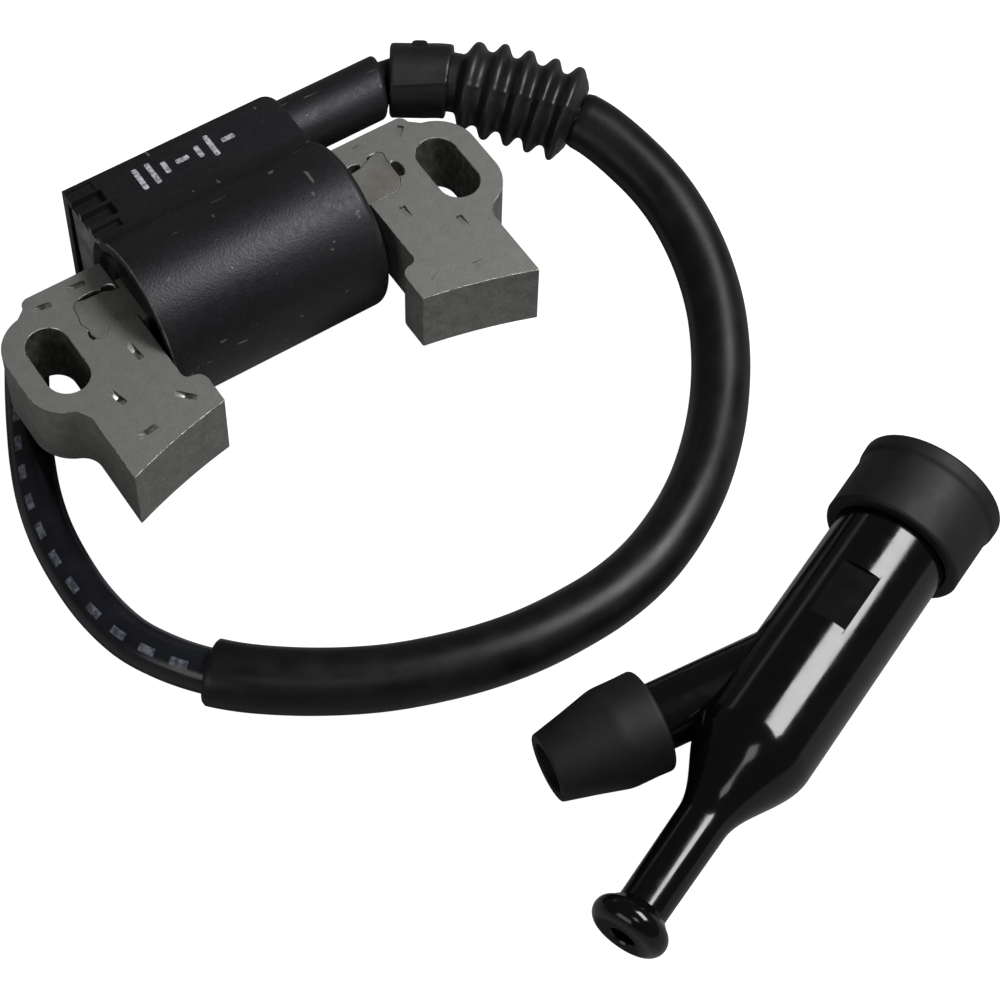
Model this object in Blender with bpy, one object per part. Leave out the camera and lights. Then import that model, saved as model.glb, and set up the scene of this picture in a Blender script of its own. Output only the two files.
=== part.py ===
"""Small-engine ignition coil with its high-tension lead and a loose spark plug cap.

The coil frame has X along the coil axis (left pole leg at -X), the poles facing -Y and Z up,
with Z = 0 on the underside of the laminated core. Sizes below are in millimetres and are
turned into metres by MM. An empty at BASE_CENTRE moves the whole part so that its origin is
the middle of its footprint, on the surface that it lies on.
"""

from math import atan2, cos, pi, radians, sin, sqrt, tan

import bmesh
import bpy
from mathutils import Matrix, Vector

MM = 0.001
GAP = 0.3  # air between solids that touch on the real object

# Footprint of the coil, its boot and the cap, in the coil frame.
BASE_CENTRE = (16.63, -56.09, -10.0)

# Laminated core
CORE_THICK = 14.0
POLE_ARC_CENTRE_Y = -137.8
POLE_ARC_RADIUS = 116.7
POLE_INNER_X = 20.05
LEG_INNER_X = 23.6
LEG_OUTER_X = 40.95
LEG_BACK_Y = 14.8
LEG_STEP_Y = -15.2
SLOT_X = 40.0
SLOT_RADIUS = 3.9
SLOT_HALF_STRAIGHT = 3.65
EAR_RADIUS = 8.0
EAR_FILLET = 4.0
BAR_Y = 4.8
BAR_HALF_WIDTH = 5.1
TAB_NECK_HALF = 3.5
TAB_HEAD_HALF = 4.6
TAB_HEAD_X = (28.2, 32.8)
RELIEF_RADIUS = 1.1

# Case: an oval barrel round the windings and a box behind it for the circuit
BARREL_Y, BARREL_Z = 4.2, 7.0
BARREL_HALF = (15.5, 17.0)
BARREL_X = (-23.0, 21.0)
BOX_X = (-23.0, 20.0)
BOX_Y = (4.0, 28.5)
BOX_Z = (-5.6, 19.7)
BOX_DRAFT = 1.3
BOX_CORNER = 2.6
WALL = 1.8
NOTCH_Y = (19.9, 23.4, 26.4)
NOTCH_SIZE = (5.6, 2.2, 1.2)
STOP_BLADE = (-31.0, 20.6, -2.9), (-15.2, 21.4, 1.9)

# Outlet tower for the high-tension lead
TOWER_Y, TOWER_Z = 23.5, 13.3
TOWER_RADIUS = 5.8
TOWER_BEND_X = 43.15
TOWER_TURN = -33.4
TOWER_END = 40.5  # on its axis: the end is cut at a slant, towards the boot
TOWER_SLANT = 0.315
TOWER_NECK_RADIUS = 4.05
TOWER_BORE = 4.0
NECK_BORE = 1.5
NECK_LENGTH = 6.0
SPIGOT_BORE = 4.8  # of the boot, round the neck
COLLAR_BACK = 0.6  # the boot starts this far before the bend

# High-tension lead, its outer sleeve and the ribbed boot
LEAD_RADIUS = 4.0
SLEEVE_RADII = (5.35, 5.85)  # it swells towards its cut end
SLEEVE_BORE = 4.35
BOOT_LENGTH = 35.6
BOOT_COLLAR = 11.2
BOOT_RADII = (6.9, 5.5, 7.0, 9.1)  # collar, neck, root of a rib, crest of a rib
RIB_FIRST, RIB_PITCH, RIB_COUNT = 15.1, 4.55, 5
LEAD_STEP = 8.0

# The lead's route from the tower to its cut end under the left leg, points in the coil frame
ROUTE = [
    (42.65, 23.83, 13.25),
    (47.3, 20.75, 13.2),
    (51.9, 17.6, 13.1),
    (57.9, 11.4, 12.45),
    (64.1, 4.9, 11.1),
    (69.8, -2.7, 9.4),
    (73.0, -12.0, 7.0),
    (74.4, -21.5, 4.6),
    (73.6, -31.5, 1.9),
    (70.9, -41.0, -0.4),
    (66.6, -49.6, -2.3),
    (61.0, -57.5, -3.8),
    (54.2, -64.8, -4.5),
    (46.3, -71.4, -4.6),
    (37.8, -76.5, -4.6),
    (29.0, -80.1, -4.6),
    (20.1, -81.9, -4.6),
    (11.3, -82.2, -4.6),
    (2.9, -81.7, -4.5),
    (-5.3, -80.2, -4.4),
    (-13.1, -77.9, -4.3),
    (-20.6, -75.0, -4.2),
    (-27.8, -71.2, -4.15),
    (-34.7, -66.8, -4.05),
    (-41.1, -61.8, -4.0),
    (-46.1, -56.5, -4.1),
    (-49.8, -50.4, -5.1),
    (-52.6, -43.8, -5.9),
    (-54.2, -36.0, -6.0),
    (-54.5, -28.0, -6.0),
    (-53.8, -19.0, -6.0),
    (-52.0, -10.8, -6.0),
    (-49.3, -3.2, -6.0),
    (-46.2, 3.8, -6.0),
    (-43.1, 10.2, -6.0),
    (-40.0, 16.2, -6.0),
]
SLEEVE_FROM_END = 79.6  # the sleeve stops this far before the end of the lead

# Spark plug cap: stations along its axis start at the inner face of the plug seal
CAP_START = (61.5, -104.3, 3.2)
CAP_HEADING = -157.5
CAP_TILT = -3.64
CAP_TUBE_RADIUS = 10.4
CAP_BORE = 7.9
CAP_TUBE = (-12.0, 43.2)
CAP_BORE_END = 37.0
CAP_CONE_END = 59.8
CAP_NECK_RADIUS = 4.5
CAP_FLARE = (77.6, 83.4)
CAP_FLARE_RADIUS = 6.8
CAP_END_HOLE = (2.2, 10.0)
BRANCH_START = 19.2
BRANCH_ANGLE = 29.4
BRANCH_RADIUS = 5.9
BRANCH_END = 42.0
BRANCH_BORE = 4.3
CABLE_SEAL = (33.6, 41.3, 53.0)
CABLE_SEAL_RADII = (9.0, 6.0)
PLUG_SEAL = (-15.7, -1.0)
PLUG_SEAL_RADIUS = 13.3
PLUG_SEAL_BORE = 5.4
CAP_FLAT = (10.1, 21.6, 6.8)


def clear_scene():
    for obj in list(bpy.data.objects):
        bpy.data.objects.remove(obj, do_unlink=True)


def material(name, colour, roughness, metallic=0.0):
    mat = bpy.data.materials.new(name)
    mat.use_nodes = True
    shader = mat.node_tree.nodes["Principled BSDF"]
    shader.inputs["Base Color"].default_value = (*colour, 1.0)
    shader.inputs["Roughness"].default_value = roughness
    shader.inputs["Metallic"].default_value = metallic
    return mat


def empty(name, location, parent=None):
    obj = bpy.data.objects.new(name, None)
    obj.location = Vector(location) * MM
    obj.parent = parent
    bpy.context.collection.objects.link(obj)
    return obj


def solid(name, bm, mat, parent, matrix=None):
    """An object from a bmesh that is in millimetres."""
    bm.transform((matrix or Matrix()).copy())
    bm.transform(Matrix.Scale(MM, 4))
    bmesh.ops.recalc_face_normals(bm, faces=bm.faces)
    mesh = bpy.data.meshes.new(name)
    bm.to_mesh(mesh)
    bm.free()
    mesh.materials.append(mat)
    obj = bpy.data.objects.new(name, mesh)
    obj.parent = parent
    bpy.context.collection.objects.link(obj)
    return obj


def helper(obj):
    obj.hide_render = True
    obj.display_type = "WIRE"
    return obj


def combine(obj, other, operation):
    """A Boolean of obj with a helper object."""
    step = obj.modifiers.new(other.name, "BOOLEAN")
    step.operation = operation
    step.solver = "EXACT"
    step.object = helper(other)


def arc(centre, radius, start, end, count):
    """Points on an arc, angles in degrees, both ends included."""
    turns = [radians(start + (end - start) * i / count) for i in range(count + 1)]
    return [(centre[0] + radius * cos(a), centre[1] + radius * sin(a)) for a in turns]


def prism(outline, low, high, axis="Z"):
    """A bmesh of a closed outline drawn out along an axis. For X the outline holds (y, z)."""
    bm = bmesh.new()
    if axis == "Z":
        rings = [[(a, b, level) for a, b in outline] for level in (low, high)]
    else:
        rings = [[(level, a, b) for a, b in outline] for level in (low, high)]
    ends = [[bm.verts.new(p) for p in ring] for ring in rings]
    bm.faces.new(ends[0])
    bm.faces.new(ends[1])
    for i in range(len(outline)):
        j = (i + 1) % len(outline)
        bm.faces.new((ends[0][i], ends[0][j], ends[1][j], ends[1][i]))
    return bm


def turned(profile, sides=32):
    """A bmesh turned about X from a closed profile of (x, radius). Radius 0 is on the axis."""
    bm = bmesh.new()
    rings = []
    for x, radius in profile:
        if radius == 0:
            rings.append([bm.verts.new((x, 0, 0))])
            continue
        angles = [2 * pi * k / sides for k in range(sides)]
        rings.append([bm.verts.new((x, radius * cos(a), radius * sin(a))) for a in angles])
    for i, ring in enumerate(rings):
        after = rings[(i + 1) % len(rings)]
        for k in range(sides):
            m = (k + 1) % sides
            if len(ring) > 1 and len(after) > 1:
                bm.faces.new((ring[k], ring[m], after[m], after[k]))
            elif len(ring) > 1:
                bm.faces.new((ring[k], ring[m], after[0]))
            elif len(after) > 1:
                bm.faces.new((ring[0], after[m], after[k]))
    return bm


def smooth_route(points, step):
    """Points about one step apart on a smooth curve through the route's points."""
    guide = [Vector(p) for p in points]
    guide = [2 * guide[0] - guide[1], *guide, 2 * guide[-1] - guide[-2]]
    fine = []
    for a, b, c, d in zip(guide, guide[1:], guide[2:], guide[3:]):
        for i in range(20):
            t = i / 20
            fine.append(
                0.5
                * (
                    2 * b
                    + (c - a) * t
                    + (2 * a - 5 * b + 4 * c - d) * t**2
                    + (3 * b - a - 3 * c + d) * t**3
                )
            )
    fine.append(guide[-2])
    reach = [0.0]
    for a, b in zip(fine, fine[1:]):
        reach.append(reach[-1] + (b - a).length)
    count = max(2, round(reach[-1] / step))
    spaced, k = [], 0
    for i in range(count + 1):
        goal = reach[-1] * i / count
        while k < len(reach) - 2 and reach[k + 1] < goal:
            k += 1
        share = (goal - reach[k]) / (reach[k + 1] - reach[k])
        spaced.append(fine[k].lerp(fine[k + 1], share))
    return spaced


def stretch(path, start, end):
    """The part of a path between two lengths along it."""
    kept, reach = [], 0.0
    for a, b in zip(path, path[1:]):
        step = (b - a).length
        for goal in (start, end):
            if reach <= goal < reach + step:
                kept.append(a.lerp(b, (goal - reach) / step))
        if start < reach + step < end:
            kept.append(b)
        reach += step
    return kept


def swept_tube(path, outer, bore, sides):
    """A bmesh of a hollow tube along a path; outer and bore give the radius at each point."""
    bm = bmesh.new()
    rings = {"outer": [], "bore": []}
    for i, point in enumerate(path):
        along = (path[min(i + 1, len(path) - 1)] - path[max(i - 1, 0)]).normalized()
        side = along.cross(Vector((0, 0, 1))).normalized()
        up = side.cross(along)
        for key, radius in (("outer", outer[i]), ("bore", bore[i])):
            turns = [2 * pi * k / sides for k in range(sides)]
            ring = [point + radius * (side * cos(a) + up * sin(a)) for a in turns]
            rings[key].append([bm.verts.new(p) for p in ring])
    for key in rings:
        for a, b in zip(rings[key], rings[key][1:]):
            for k in range(sides):
                m = (k + 1) % sides
                bm.faces.new((a[k], a[m], b[m], b[k]))
    for end in (0, -1):
        a, b = rings["outer"][end], rings["bore"][end]
        for k in range(sides):
            m = (k + 1) % sides
            bm.faces.new((a[k], a[m], b[m], b[k]))
    return bm


def rounded_box(low, high, radius=0.0, sides=4):
    """A bmesh of a box from low to high, with its edges along Z rounded."""
    (x0, y0, z0), (x1, y1, z1) = low, high
    if radius == 0:
        return prism([(x0, y0), (x1, y0), (x1, y1), (x0, y1)], z0, z1)
    outline = []
    corners = (x1 - radius, y0 + radius), (x1 - radius, y1 - radius)
    corners += (x0 + radius, y1 - radius), (x0 + radius, y0 + radius)
    for corner, start in zip(corners, (-90, 0, 90, 180)):
        outline += arc(corner, radius, start, start + 90, sides)
    return prism(outline, z0, z1)


# ---------------------------------------------------------------- core


def leg_outline():
    """Right pole leg seen from above, anticlockwise from the inner pole corner."""
    steps = 6
    outline = []
    for i in range(steps + 1):
        x = POLE_INNER_X + (LEG_OUTER_X - POLE_INNER_X) * i / steps
        outline.append((x, POLE_ARC_CENTRE_Y + sqrt(POLE_ARC_RADIUS**2 - x**2)))
    fillet_x = LEG_OUTER_X + EAR_FILLET
    drop = sqrt((EAR_RADIUS + EAR_FILLET) ** 2 - (fillet_x - SLOT_X) ** 2)
    fillet_y = -SLOT_HALF_STRAIGHT - drop
    meet = 180 / pi * atan2(drop, SLOT_X - fillet_x)
    outline += arc((fillet_x, fillet_y), EAR_FILLET, 180, meet, 4)
    outline += arc((SLOT_X, -SLOT_HALF_STRAIGHT), EAR_RADIUS, meet - 180 + 6, 0, 7)
    outline += arc((SLOT_X, SLOT_HALF_STRAIGHT), EAR_RADIUS, 0, 78, 8)
    knob = 1.7
    outline += arc((LEG_OUTER_X - 1.2 - knob, LEG_BACK_Y - knob), knob, 0, 90, 4)
    outline += [(LEG_INNER_X, LEG_BACK_Y)]
    inner, outer = 1.3, 2.25
    outline += arc((LEG_INNER_X - inner, LEG_STEP_Y + inner), inner, 0, -90, 3)
    outline += arc((POLE_INNER_X + outer, LEG_STEP_Y - outer), outer, 90, 180, 4)[1:]
    return outline


def slot_outline(side):
    top = arc((side * SLOT_X, SLOT_HALF_STRAIGHT), SLOT_RADIUS, 0, 180, 10)
    return top + arc((side * SLOT_X, -SLOT_HALF_STRAIGHT), SLOT_RADIUS, 180, 360, 10)


def tab_outline(side, grow=0.0, root=LEG_INNER_X - 2.0):
    """The T-shaped tab that ties the bar to a leg. The leg's socket is the same, grown by a gap."""
    neck = TAB_NECK_HALF + grow
    head = TAB_HEAD_HALF + grow
    x0, x1 = TAB_HEAD_X[0] - grow, TAB_HEAD_X[1] + grow
    corner = 1.0
    outline = [(root, BAR_Y - neck), (x0, BAR_Y - neck)]
    outline += arc((x0 + corner, BAR_Y - head + corner), corner, 180, 270, 3)
    outline += arc((x1 - corner, BAR_Y - head + corner), corner, 270, 360, 3)
    outline += arc((x1 - corner, BAR_Y + head - corner), corner, 0, 90, 3)
    outline += arc((x0 + corner, BAR_Y + head - corner), corner, 90, 180, 3)
    outline += [(x0, BAR_Y + neck), (root, BAR_Y + neck)]
    return [(side * x, y) for x, y in outline]


def pole_core(name, side, mat, parent):
    outline = [(side * x, y) for x, y in leg_outline()]
    leg = solid(name, prism(outline, 0, CORE_THICK), mat, parent)
    cuts = {
        "slot": prism(slot_outline(side), -1, CORE_THICK + 1),
        "socket": prism(tab_outline(side, GAP), -1, CORE_THICK + 1),
    }
    for label, x, y in (("relief_a", 26.6, 8.3), ("relief_b", 31.9, 0.9)):
        ring = arc((side * x, y), RELIEF_RADIUS, 0, 345, 11)
        cuts[label] = prism(ring, -1, CORE_THICK + 1)
    for label, cut in cuts.items():
        combine(leg, solid(f"{name}_{label}", cut, mat, parent), "DIFFERENCE")


def centre_bar(mat, parent):
    half = LEG_INNER_X - GAP
    low, high = BAR_Y - BAR_HALF_WIDTH, BAR_Y + BAR_HALF_WIDTH
    bar = solid(
        "centre_core_bar",
        rounded_box((-half, low, 0), (half, high, CORE_THICK)),
        mat,
        parent,
    )
    for side, label in ((-1, "left_tab"), (1, "right_tab")):
        tab = prism(tab_outline(side), 0, CORE_THICK)
        combine(bar, solid(label, tab, mat, parent), "UNION")


# ---------------------------------------------------------------- case


def barrel_outline(inset=0.0, count=48):
    a, b = BARREL_HALF[0] - inset, BARREL_HALF[1] - inset
    turns = [2 * pi * k / count for k in range(count)]
    return [(BARREL_Y + a * cos(t), BARREL_Z + b * sin(t)) for t in turns]


def box_prism(inset=0.0, open_left=0.0):
    """The box behind the barrel, its back wall leaning in towards the bottom."""
    x0, x1 = BOX_X[0] - open_left, BOX_X[1] - inset
    y0, y1 = BOX_Y[0], BOX_Y[1] - inset
    z0, z1 = BOX_Z[0] + inset, BOX_Z[1] - inset
    corner = max(BOX_CORNER - inset, 0.5)
    outline = [(x0, y0), (x1, y0)]
    outline += arc((x1 - corner, y1 - corner), corner, 0, 90, 4)
    outline += [(x0, y1)]
    bm = prism(outline, z0, z1)
    for vert in bm.verts:
        if vert.co.z == z0 and vert.co.y > y0:
            vert.co.y -= BOX_DRAFT
    return bm


def tower_elbow():
    """Where the tower bends, the direction that it bends to, and the matrix of the bent part."""
    bend = Vector((TOWER_BEND_X, TOWER_Y, TOWER_Z))
    turn = Matrix.Rotation(radians(TOWER_TURN), 4, "Z")
    return bend, Matrix.Translation(bend) @ turn


def tower_tube():
    """The tower about X, with its end cut at a slant so that it faces the turned boot."""
    wall_x = BOX_X[1] - WALL / 2
    profile = [(wall_x, 0), (wall_x, TOWER_RADIUS)]
    profile += arc((TOWER_END - 1.2, TOWER_RADIUS - 1.2), 1.2, 90, 10, 4)
    profile += [(TOWER_END, 0)]
    bm = turned(profile)
    for vert in bm.verts:
        if vert.co.x > TOWER_END - 3:
            vert.co.x += TOWER_SLANT * vert.co.y
    return bm


def tower_spigot():
    """The neck that carries the boot: it starts in the tower's slanted end and turns to the lead."""
    bend, bent = tower_elbow()
    root = Matrix.Translation((0, TOWER_Y, TOWER_Z))
    bm = bmesh.new()
    rings = []
    for place, x, radius, slant in (
        (root, TOWER_END - 3.0, 4.5, TOWER_SLANT),
        (root, TOWER_END - 0.3, 4.5, TOWER_SLANT),
        (bent, -COLLAR_BACK, TOWER_NECK_RADIUS, 0.0),
        (bent, NECK_LENGTH, TOWER_NECK_RADIUS, 0.0),
    ):
        ring = []
        for k in range(32):
            y, z = radius * cos(2 * pi * k / 32), radius * sin(2 * pi * k / 32)
            ring.append(bm.verts.new(place @ Vector((x + slant * y, y, z))))
        rings.append(ring)
    for a, b in zip(rings, rings[1:]):
        for k in range(32):
            m = (k + 1) % 32
            bm.faces.new((a[k], a[m], b[m], b[k]))
    bm.faces.new(rings[0])
    bm.faces.new(rings[-1])
    return bm


def coil_case(mat, parent):
    case = solid("coil_case", prism(barrel_outline(), *BARREL_X, "X"), mat, parent)
    along = Matrix.Translation((0, TOWER_Y, TOWER_Z))
    _, bent = tower_elbow()
    tower = solid("tower", tower_tube(), mat, parent, along)
    combine(case, solid("box", box_prism(), mat, parent), "UNION")
    combine(case, tower, "UNION")
    combine(case, solid("tower_neck", tower_spigot(), mat, parent), "UNION")
    barrel_room = prism(barrel_outline(WALL), BARREL_X[0] - 1, BARREL_X[1] - WALL, "X")
    combine(case, solid("barrel_room", barrel_room, mat, parent), "DIFFERENCE")
    combine(case, solid("box_room", box_prism(WALL, 1.0), mat, parent), "DIFFERENCE")
    bar_hole = rounded_box(
        (BARREL_X[1] - 4, BAR_Y - BAR_HALF_WIDTH - GAP, -GAP),
        (BARREL_X[1] + 1, BAR_Y + BAR_HALF_WIDTH + GAP, CORE_THICK + GAP),
    )
    combine(case, solid("bar_hole", bar_hole, mat, parent), "DIFFERENCE")
    straight = [(BOX_X[1] - 4, 0), (BOX_X[1] - 4, TOWER_BORE), (TOWER_END - 3.4, TOWER_BORE)]
    straight += [(TOWER_END - 2.0, NECK_BORE), (TOWER_BEND_X, NECK_BORE), (TOWER_BEND_X, 0)]
    combine(case, solid("tower_bore", turned(straight, 24), mat, parent, along), "DIFFERENCE")
    ball = arc((0, 0), NECK_BORE + 0.05, 180, 90, 6)
    bent_bore = [(ball[0][0], 0), *ball[1:], (NECK_LENGTH + 1, NECK_BORE), (NECK_LENGTH + 1, 0)]
    combine(case, solid("neck_bore", turned(bent_bore, 24), mat, parent, bent), "DIFFERENCE")
    length, width, depth = NOTCH_SIZE
    for i, y in enumerate(NOTCH_Y):
        low = (BOX_X[0] - 1, y - width / 2, BOX_Z[1] - depth)
        high = (BOX_X[0] + length, y + width / 2, BOX_Z[1] + 1)
        combine(case, solid(f"notch_{i}", rounded_box(low, high), mat, parent), "DIFFERENCE")


def potting(mat, parent):
    """The cast resin that closes the open end of the box."""
    inset = WALL + GAP
    outline = [
        (17.9, BOX_Z[0] + inset),
        (BOX_Y[1] - inset - BOX_DRAFT, BOX_Z[0] + inset),
        (BOX_Y[1] - inset, BOX_Z[1] - inset),
        (16.2, BOX_Z[1] - inset),
        (18.6, 12.6),
        (19.9, 7.0),
    ]
    block = solid("potting_resin", prism(outline, -22.4, -15.5, "X"), mat, parent)
    (x0, y0, z0), (x1, y1, z1) = STOP_BLADE
    blade = rounded_box((x0, y0 - GAP, z0 - GAP), (x1 + 5, y1 + GAP, z1 + GAP))
    combine(block, solid("terminal_slit", blade, mat, parent), "DIFFERENCE")


# ---------------------------------------------------------------- windings and circuit


def oval(half_y, half_z, corner, sides=4):
    """A rounded rectangle round the bar, as (y, z)."""
    middle_z = CORE_THICK / 2
    outline = []
    for sy, sz, start in ((1, -1, -90), (1, 1, 0), (-1, 1, 90), (-1, -1, 180)):
        centre = (BAR_Y + sy * (half_y - corner), middle_z + sz * (half_z - corner))
        outline += arc(centre, corner, start, start + 90, sides)
    return outline


def ring_prism(outer, inner, low, high):
    """A bmesh of a ring along X between two outlines with as many points each."""
    bm = bmesh.new()
    levels = [[[bm.verts.new((x, *p)) for p in line] for line in (outer, inner)] for x in (low, high)]
    count = len(outer)
    for i in range(count):
        j = (i + 1) % count
        for (outer_ring, inner_ring) in levels:
            bm.faces.new((outer_ring[i], outer_ring[j], inner_ring[j], inner_ring[i]))
        for k in (0, 1):
            a, b = levels[0][k], levels[1][k]
            bm.faces.new((a[i], a[j], b[j], b[i]))
    return bm


def stepped_ring(inner, stations):
    """A bmesh of a bobbin along X: one inner outline, and an outer outline for each (x, outline)."""
    bm = bmesh.new()
    count = len(inner)
    rings = [[bm.verts.new((x, *p)) for p in line] for x, line in stations]
    ends = [[bm.verts.new((stations[e][0], *p)) for p in inner] for e in (0, -1)]
    loop = [ends[0], *rings, ends[1]]
    for a, b in zip(loop, loop[1:] + loop[:1]):
        for i in range(count):
            j = (i + 1) % count
            bm.faces.new((a[i], a[j], b[j], b[i]))
    return bm


def windings(mats, parent):
    """Two bobbins on the bar. The outer one is split by dividers into winding sections."""
    bore = oval(BAR_HALF_WIDTH + GAP, CORE_THICK / 2 + GAP, 0.4)
    tube = oval(6.2, 8.1, 1.0)
    flange = oval(7.9, 9.8, 3.7)
    stations = [(-21.0, flange), (-20.0, flange), (-20.0, tube), (17.6, tube)]
    stations += [(17.6, flange), (18.6, flange)]
    solid("primary_bobbin", stepped_ring(bore, stations), mats["bobbin"], parent)
    coil = ring_prism(oval(7.7, 9.6, 3.8), oval(6.5, 8.4, 1.2), -19.6, 17.2)
    solid("primary_winding", coil, mats["copper"], parent)

    bore = oval(8.2, 10.1, 4.0)
    tube = oval(9.0, 10.9, 4.8)
    divider = oval(11.8, 13.4, 10.0)
    sections, first, pitch, wall = 5, -19.6, 7.4, 1.0
    stations = []
    for i in range(sections + 1):
        x = first + pitch * i
        stations += [(x, tube)] * (i > 0)
        stations += [(x, divider), (x + wall, divider)]
        stations += [(x + wall, tube)] * (i < sections)
    solid("secondary_bobbin", stepped_ring(bore, stations), mats["bobbin"], parent)
    for i in range(sections):
        x = first + pitch * i + wall
        outer, inner = oval(11.2, 12.8, 9.4), oval(9.3, 11.2, 5.1)
        coil = ring_prism(outer, inner, x + GAP, x + pitch - wall - GAP)
        solid(f"secondary_winding_{i + 1}", coil, mats["enamel"], parent)


def circuit(mats, parent):
    """The board in the box, with the parts that switch the primary, all on its front side."""
    board_y = 24.9
    board = rounded_box((-14.0, board_y, -2.6), (16.6, board_y + 1.2, 8.0))
    solid("circuit_board", board, mats["board"], parent)
    front = board_y - GAP
    blocks = {
        "power_transistor": ((-12.6, front - 3.4, -1.6), (-5.0, front, 7.0), "chip"),
        "control_chip": ((-2.6, front - 1.6, 1.0), (2.8, front, 5.6), "chip"),
        "filter_capacitor": ((5.0, front - 2.6, -1.2), (8.4, front, 3.2), "capacitor"),
        "charge_resistor": ((10.4, front - 1.2, 2.6), (15.0, front, 5.2), "chip"),
    }
    for name, (low, high, key) in blocks.items():
        solid(name, rounded_box(low, high), mats[key], parent)
    solid("stop_terminal", rounded_box(*STOP_BLADE), mats["tin"], parent)


def ht_terminal(mat, parent):
    """The brass post in the tower whose point bites into the lead."""
    place = Matrix.Translation((0, TOWER_Y, TOWER_Z))
    profile = [(22.0, 0), (22.0, 3.6), (24.5, 3.6), (24.5, 1.0), (TOWER_BEND_X, 1.0), (TOWER_BEND_X, 0)]
    post = solid("ht_terminal", turned(profile, 16), mat, parent, place)
    _, bent = tower_elbow()
    tip = [(-0.3, 0), (-0.3, 1.0), (NECK_LENGTH - 0.6, 1.0), (NECK_LENGTH + 0.9, 0)]
    combine(post, solid("terminal_tip", turned(tip, 16), mat, parent, bent), "UNION")


# ---------------------------------------------------------------- lead


def boot_radius(reach):
    """Outer radius of the boot at a length along it: collar, neck, ribs, then a flared end."""
    collar, neck, root, crest = BOOT_RADII
    if reach <= BOOT_COLLAR:
        return collar - 0.4 * (reach == 0)
    last = RIB_FIRST + RIB_PITCH * (RIB_COUNT - 1)
    if reach < RIB_FIRST - RIB_PITCH / 2:
        return neck
    if reach > last + RIB_PITCH / 2:
        return root - 0.8
    phase = (reach - RIB_FIRST) / RIB_PITCH
    top = crest - 0.8 * (phase < 0.5)
    return root + (top - root) * (0.5 + 0.5 * cos(2 * pi * phase)) ** 0.8


def lead_parts(mats, parent):
    path = smooth_route(ROUTE, LEAD_STEP)
    curve = bpy.data.curves.new("ht_lead", "CURVE")
    curve.dimensions = "3D"
    spline = curve.splines.new("POLY")
    inside = stretch(path, NECK_LENGTH + COLLAR_BACK + 4 * GAP, 1e6)
    spline.points.add(len(inside) - 1)
    for slot, point in zip(spline.points, inside):
        slot.co = (*(point * MM), 1.0)
    curve.bevel_depth = LEAD_RADIUS * MM
    curve.bevel_resolution = 4
    curve.use_fill_caps = True
    curve.materials.append(mats["lead"])
    lead = bpy.data.objects.new("ht_lead", curve)
    lead.parent = parent
    bpy.context.collection.objects.link(lead)

    whole = sum((b - a).length for a, b in zip(path, path[1:]))
    line = stretch(path, BOOT_LENGTH + GAP, whole - SLEEVE_FROM_END)
    near, far = SLEEVE_RADII
    swell = [max(0.0, 2 * i / (len(line) - 1) - 1) for i in range(len(line))]
    outer = [near + (far - near) * s for s in swell]
    tube = swept_tube(line, outer, [SLEEVE_BORE] * len(line), 16)
    solid("lead_sleeve", tube, mats["sleeve"], parent)

    fine = smooth_route([tuple(p) for p in path], 0.75)
    line = stretch(fine, 0.0, BOOT_LENGTH)
    reach, outer, bore = 0.0, [], []
    for i, point in enumerate(line):
        reach += (point - line[max(i - 1, 0)]).length
        outer.append(boot_radius(reach))
        bore.append(SPIGOT_BORE if reach < NECK_LENGTH + COLLAR_BACK + GAP else SLEEVE_BORE)
    solid("ht_boot", swept_tube(line, outer, bore, 20), mats["rubber"], parent)


# ---------------------------------------------------------------- spark plug cap


def cap_matrix():
    """Local X runs along the cap's main axis from the plug seal, local Z stays upwards."""
    turn = Matrix.Rotation(radians(CAP_HEADING), 4, "Z")
    tilt = Matrix.Rotation(radians(-CAP_TILT), 4, "Y")
    return Matrix.Translation(CAP_START) @ turn @ tilt


def branch_matrix():
    """Local X runs along the cable branch, from where its axis leaves the main axis."""
    turn = Matrix.Rotation(radians(-BRANCH_ANGLE), 4, "Z")
    return cap_matrix() @ Matrix.Translation((BRANCH_START, 0, 0)) @ turn


def eased(start, end, low, high, count):
    """(x, radius) points of an S-shaped taper."""
    points = []
    for i in range(count + 1):
        t = i / count
        points.append((start + (end - start) * t, low + (high - low) * (3 * t**2 - 2 * t**3)))
    return points


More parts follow.
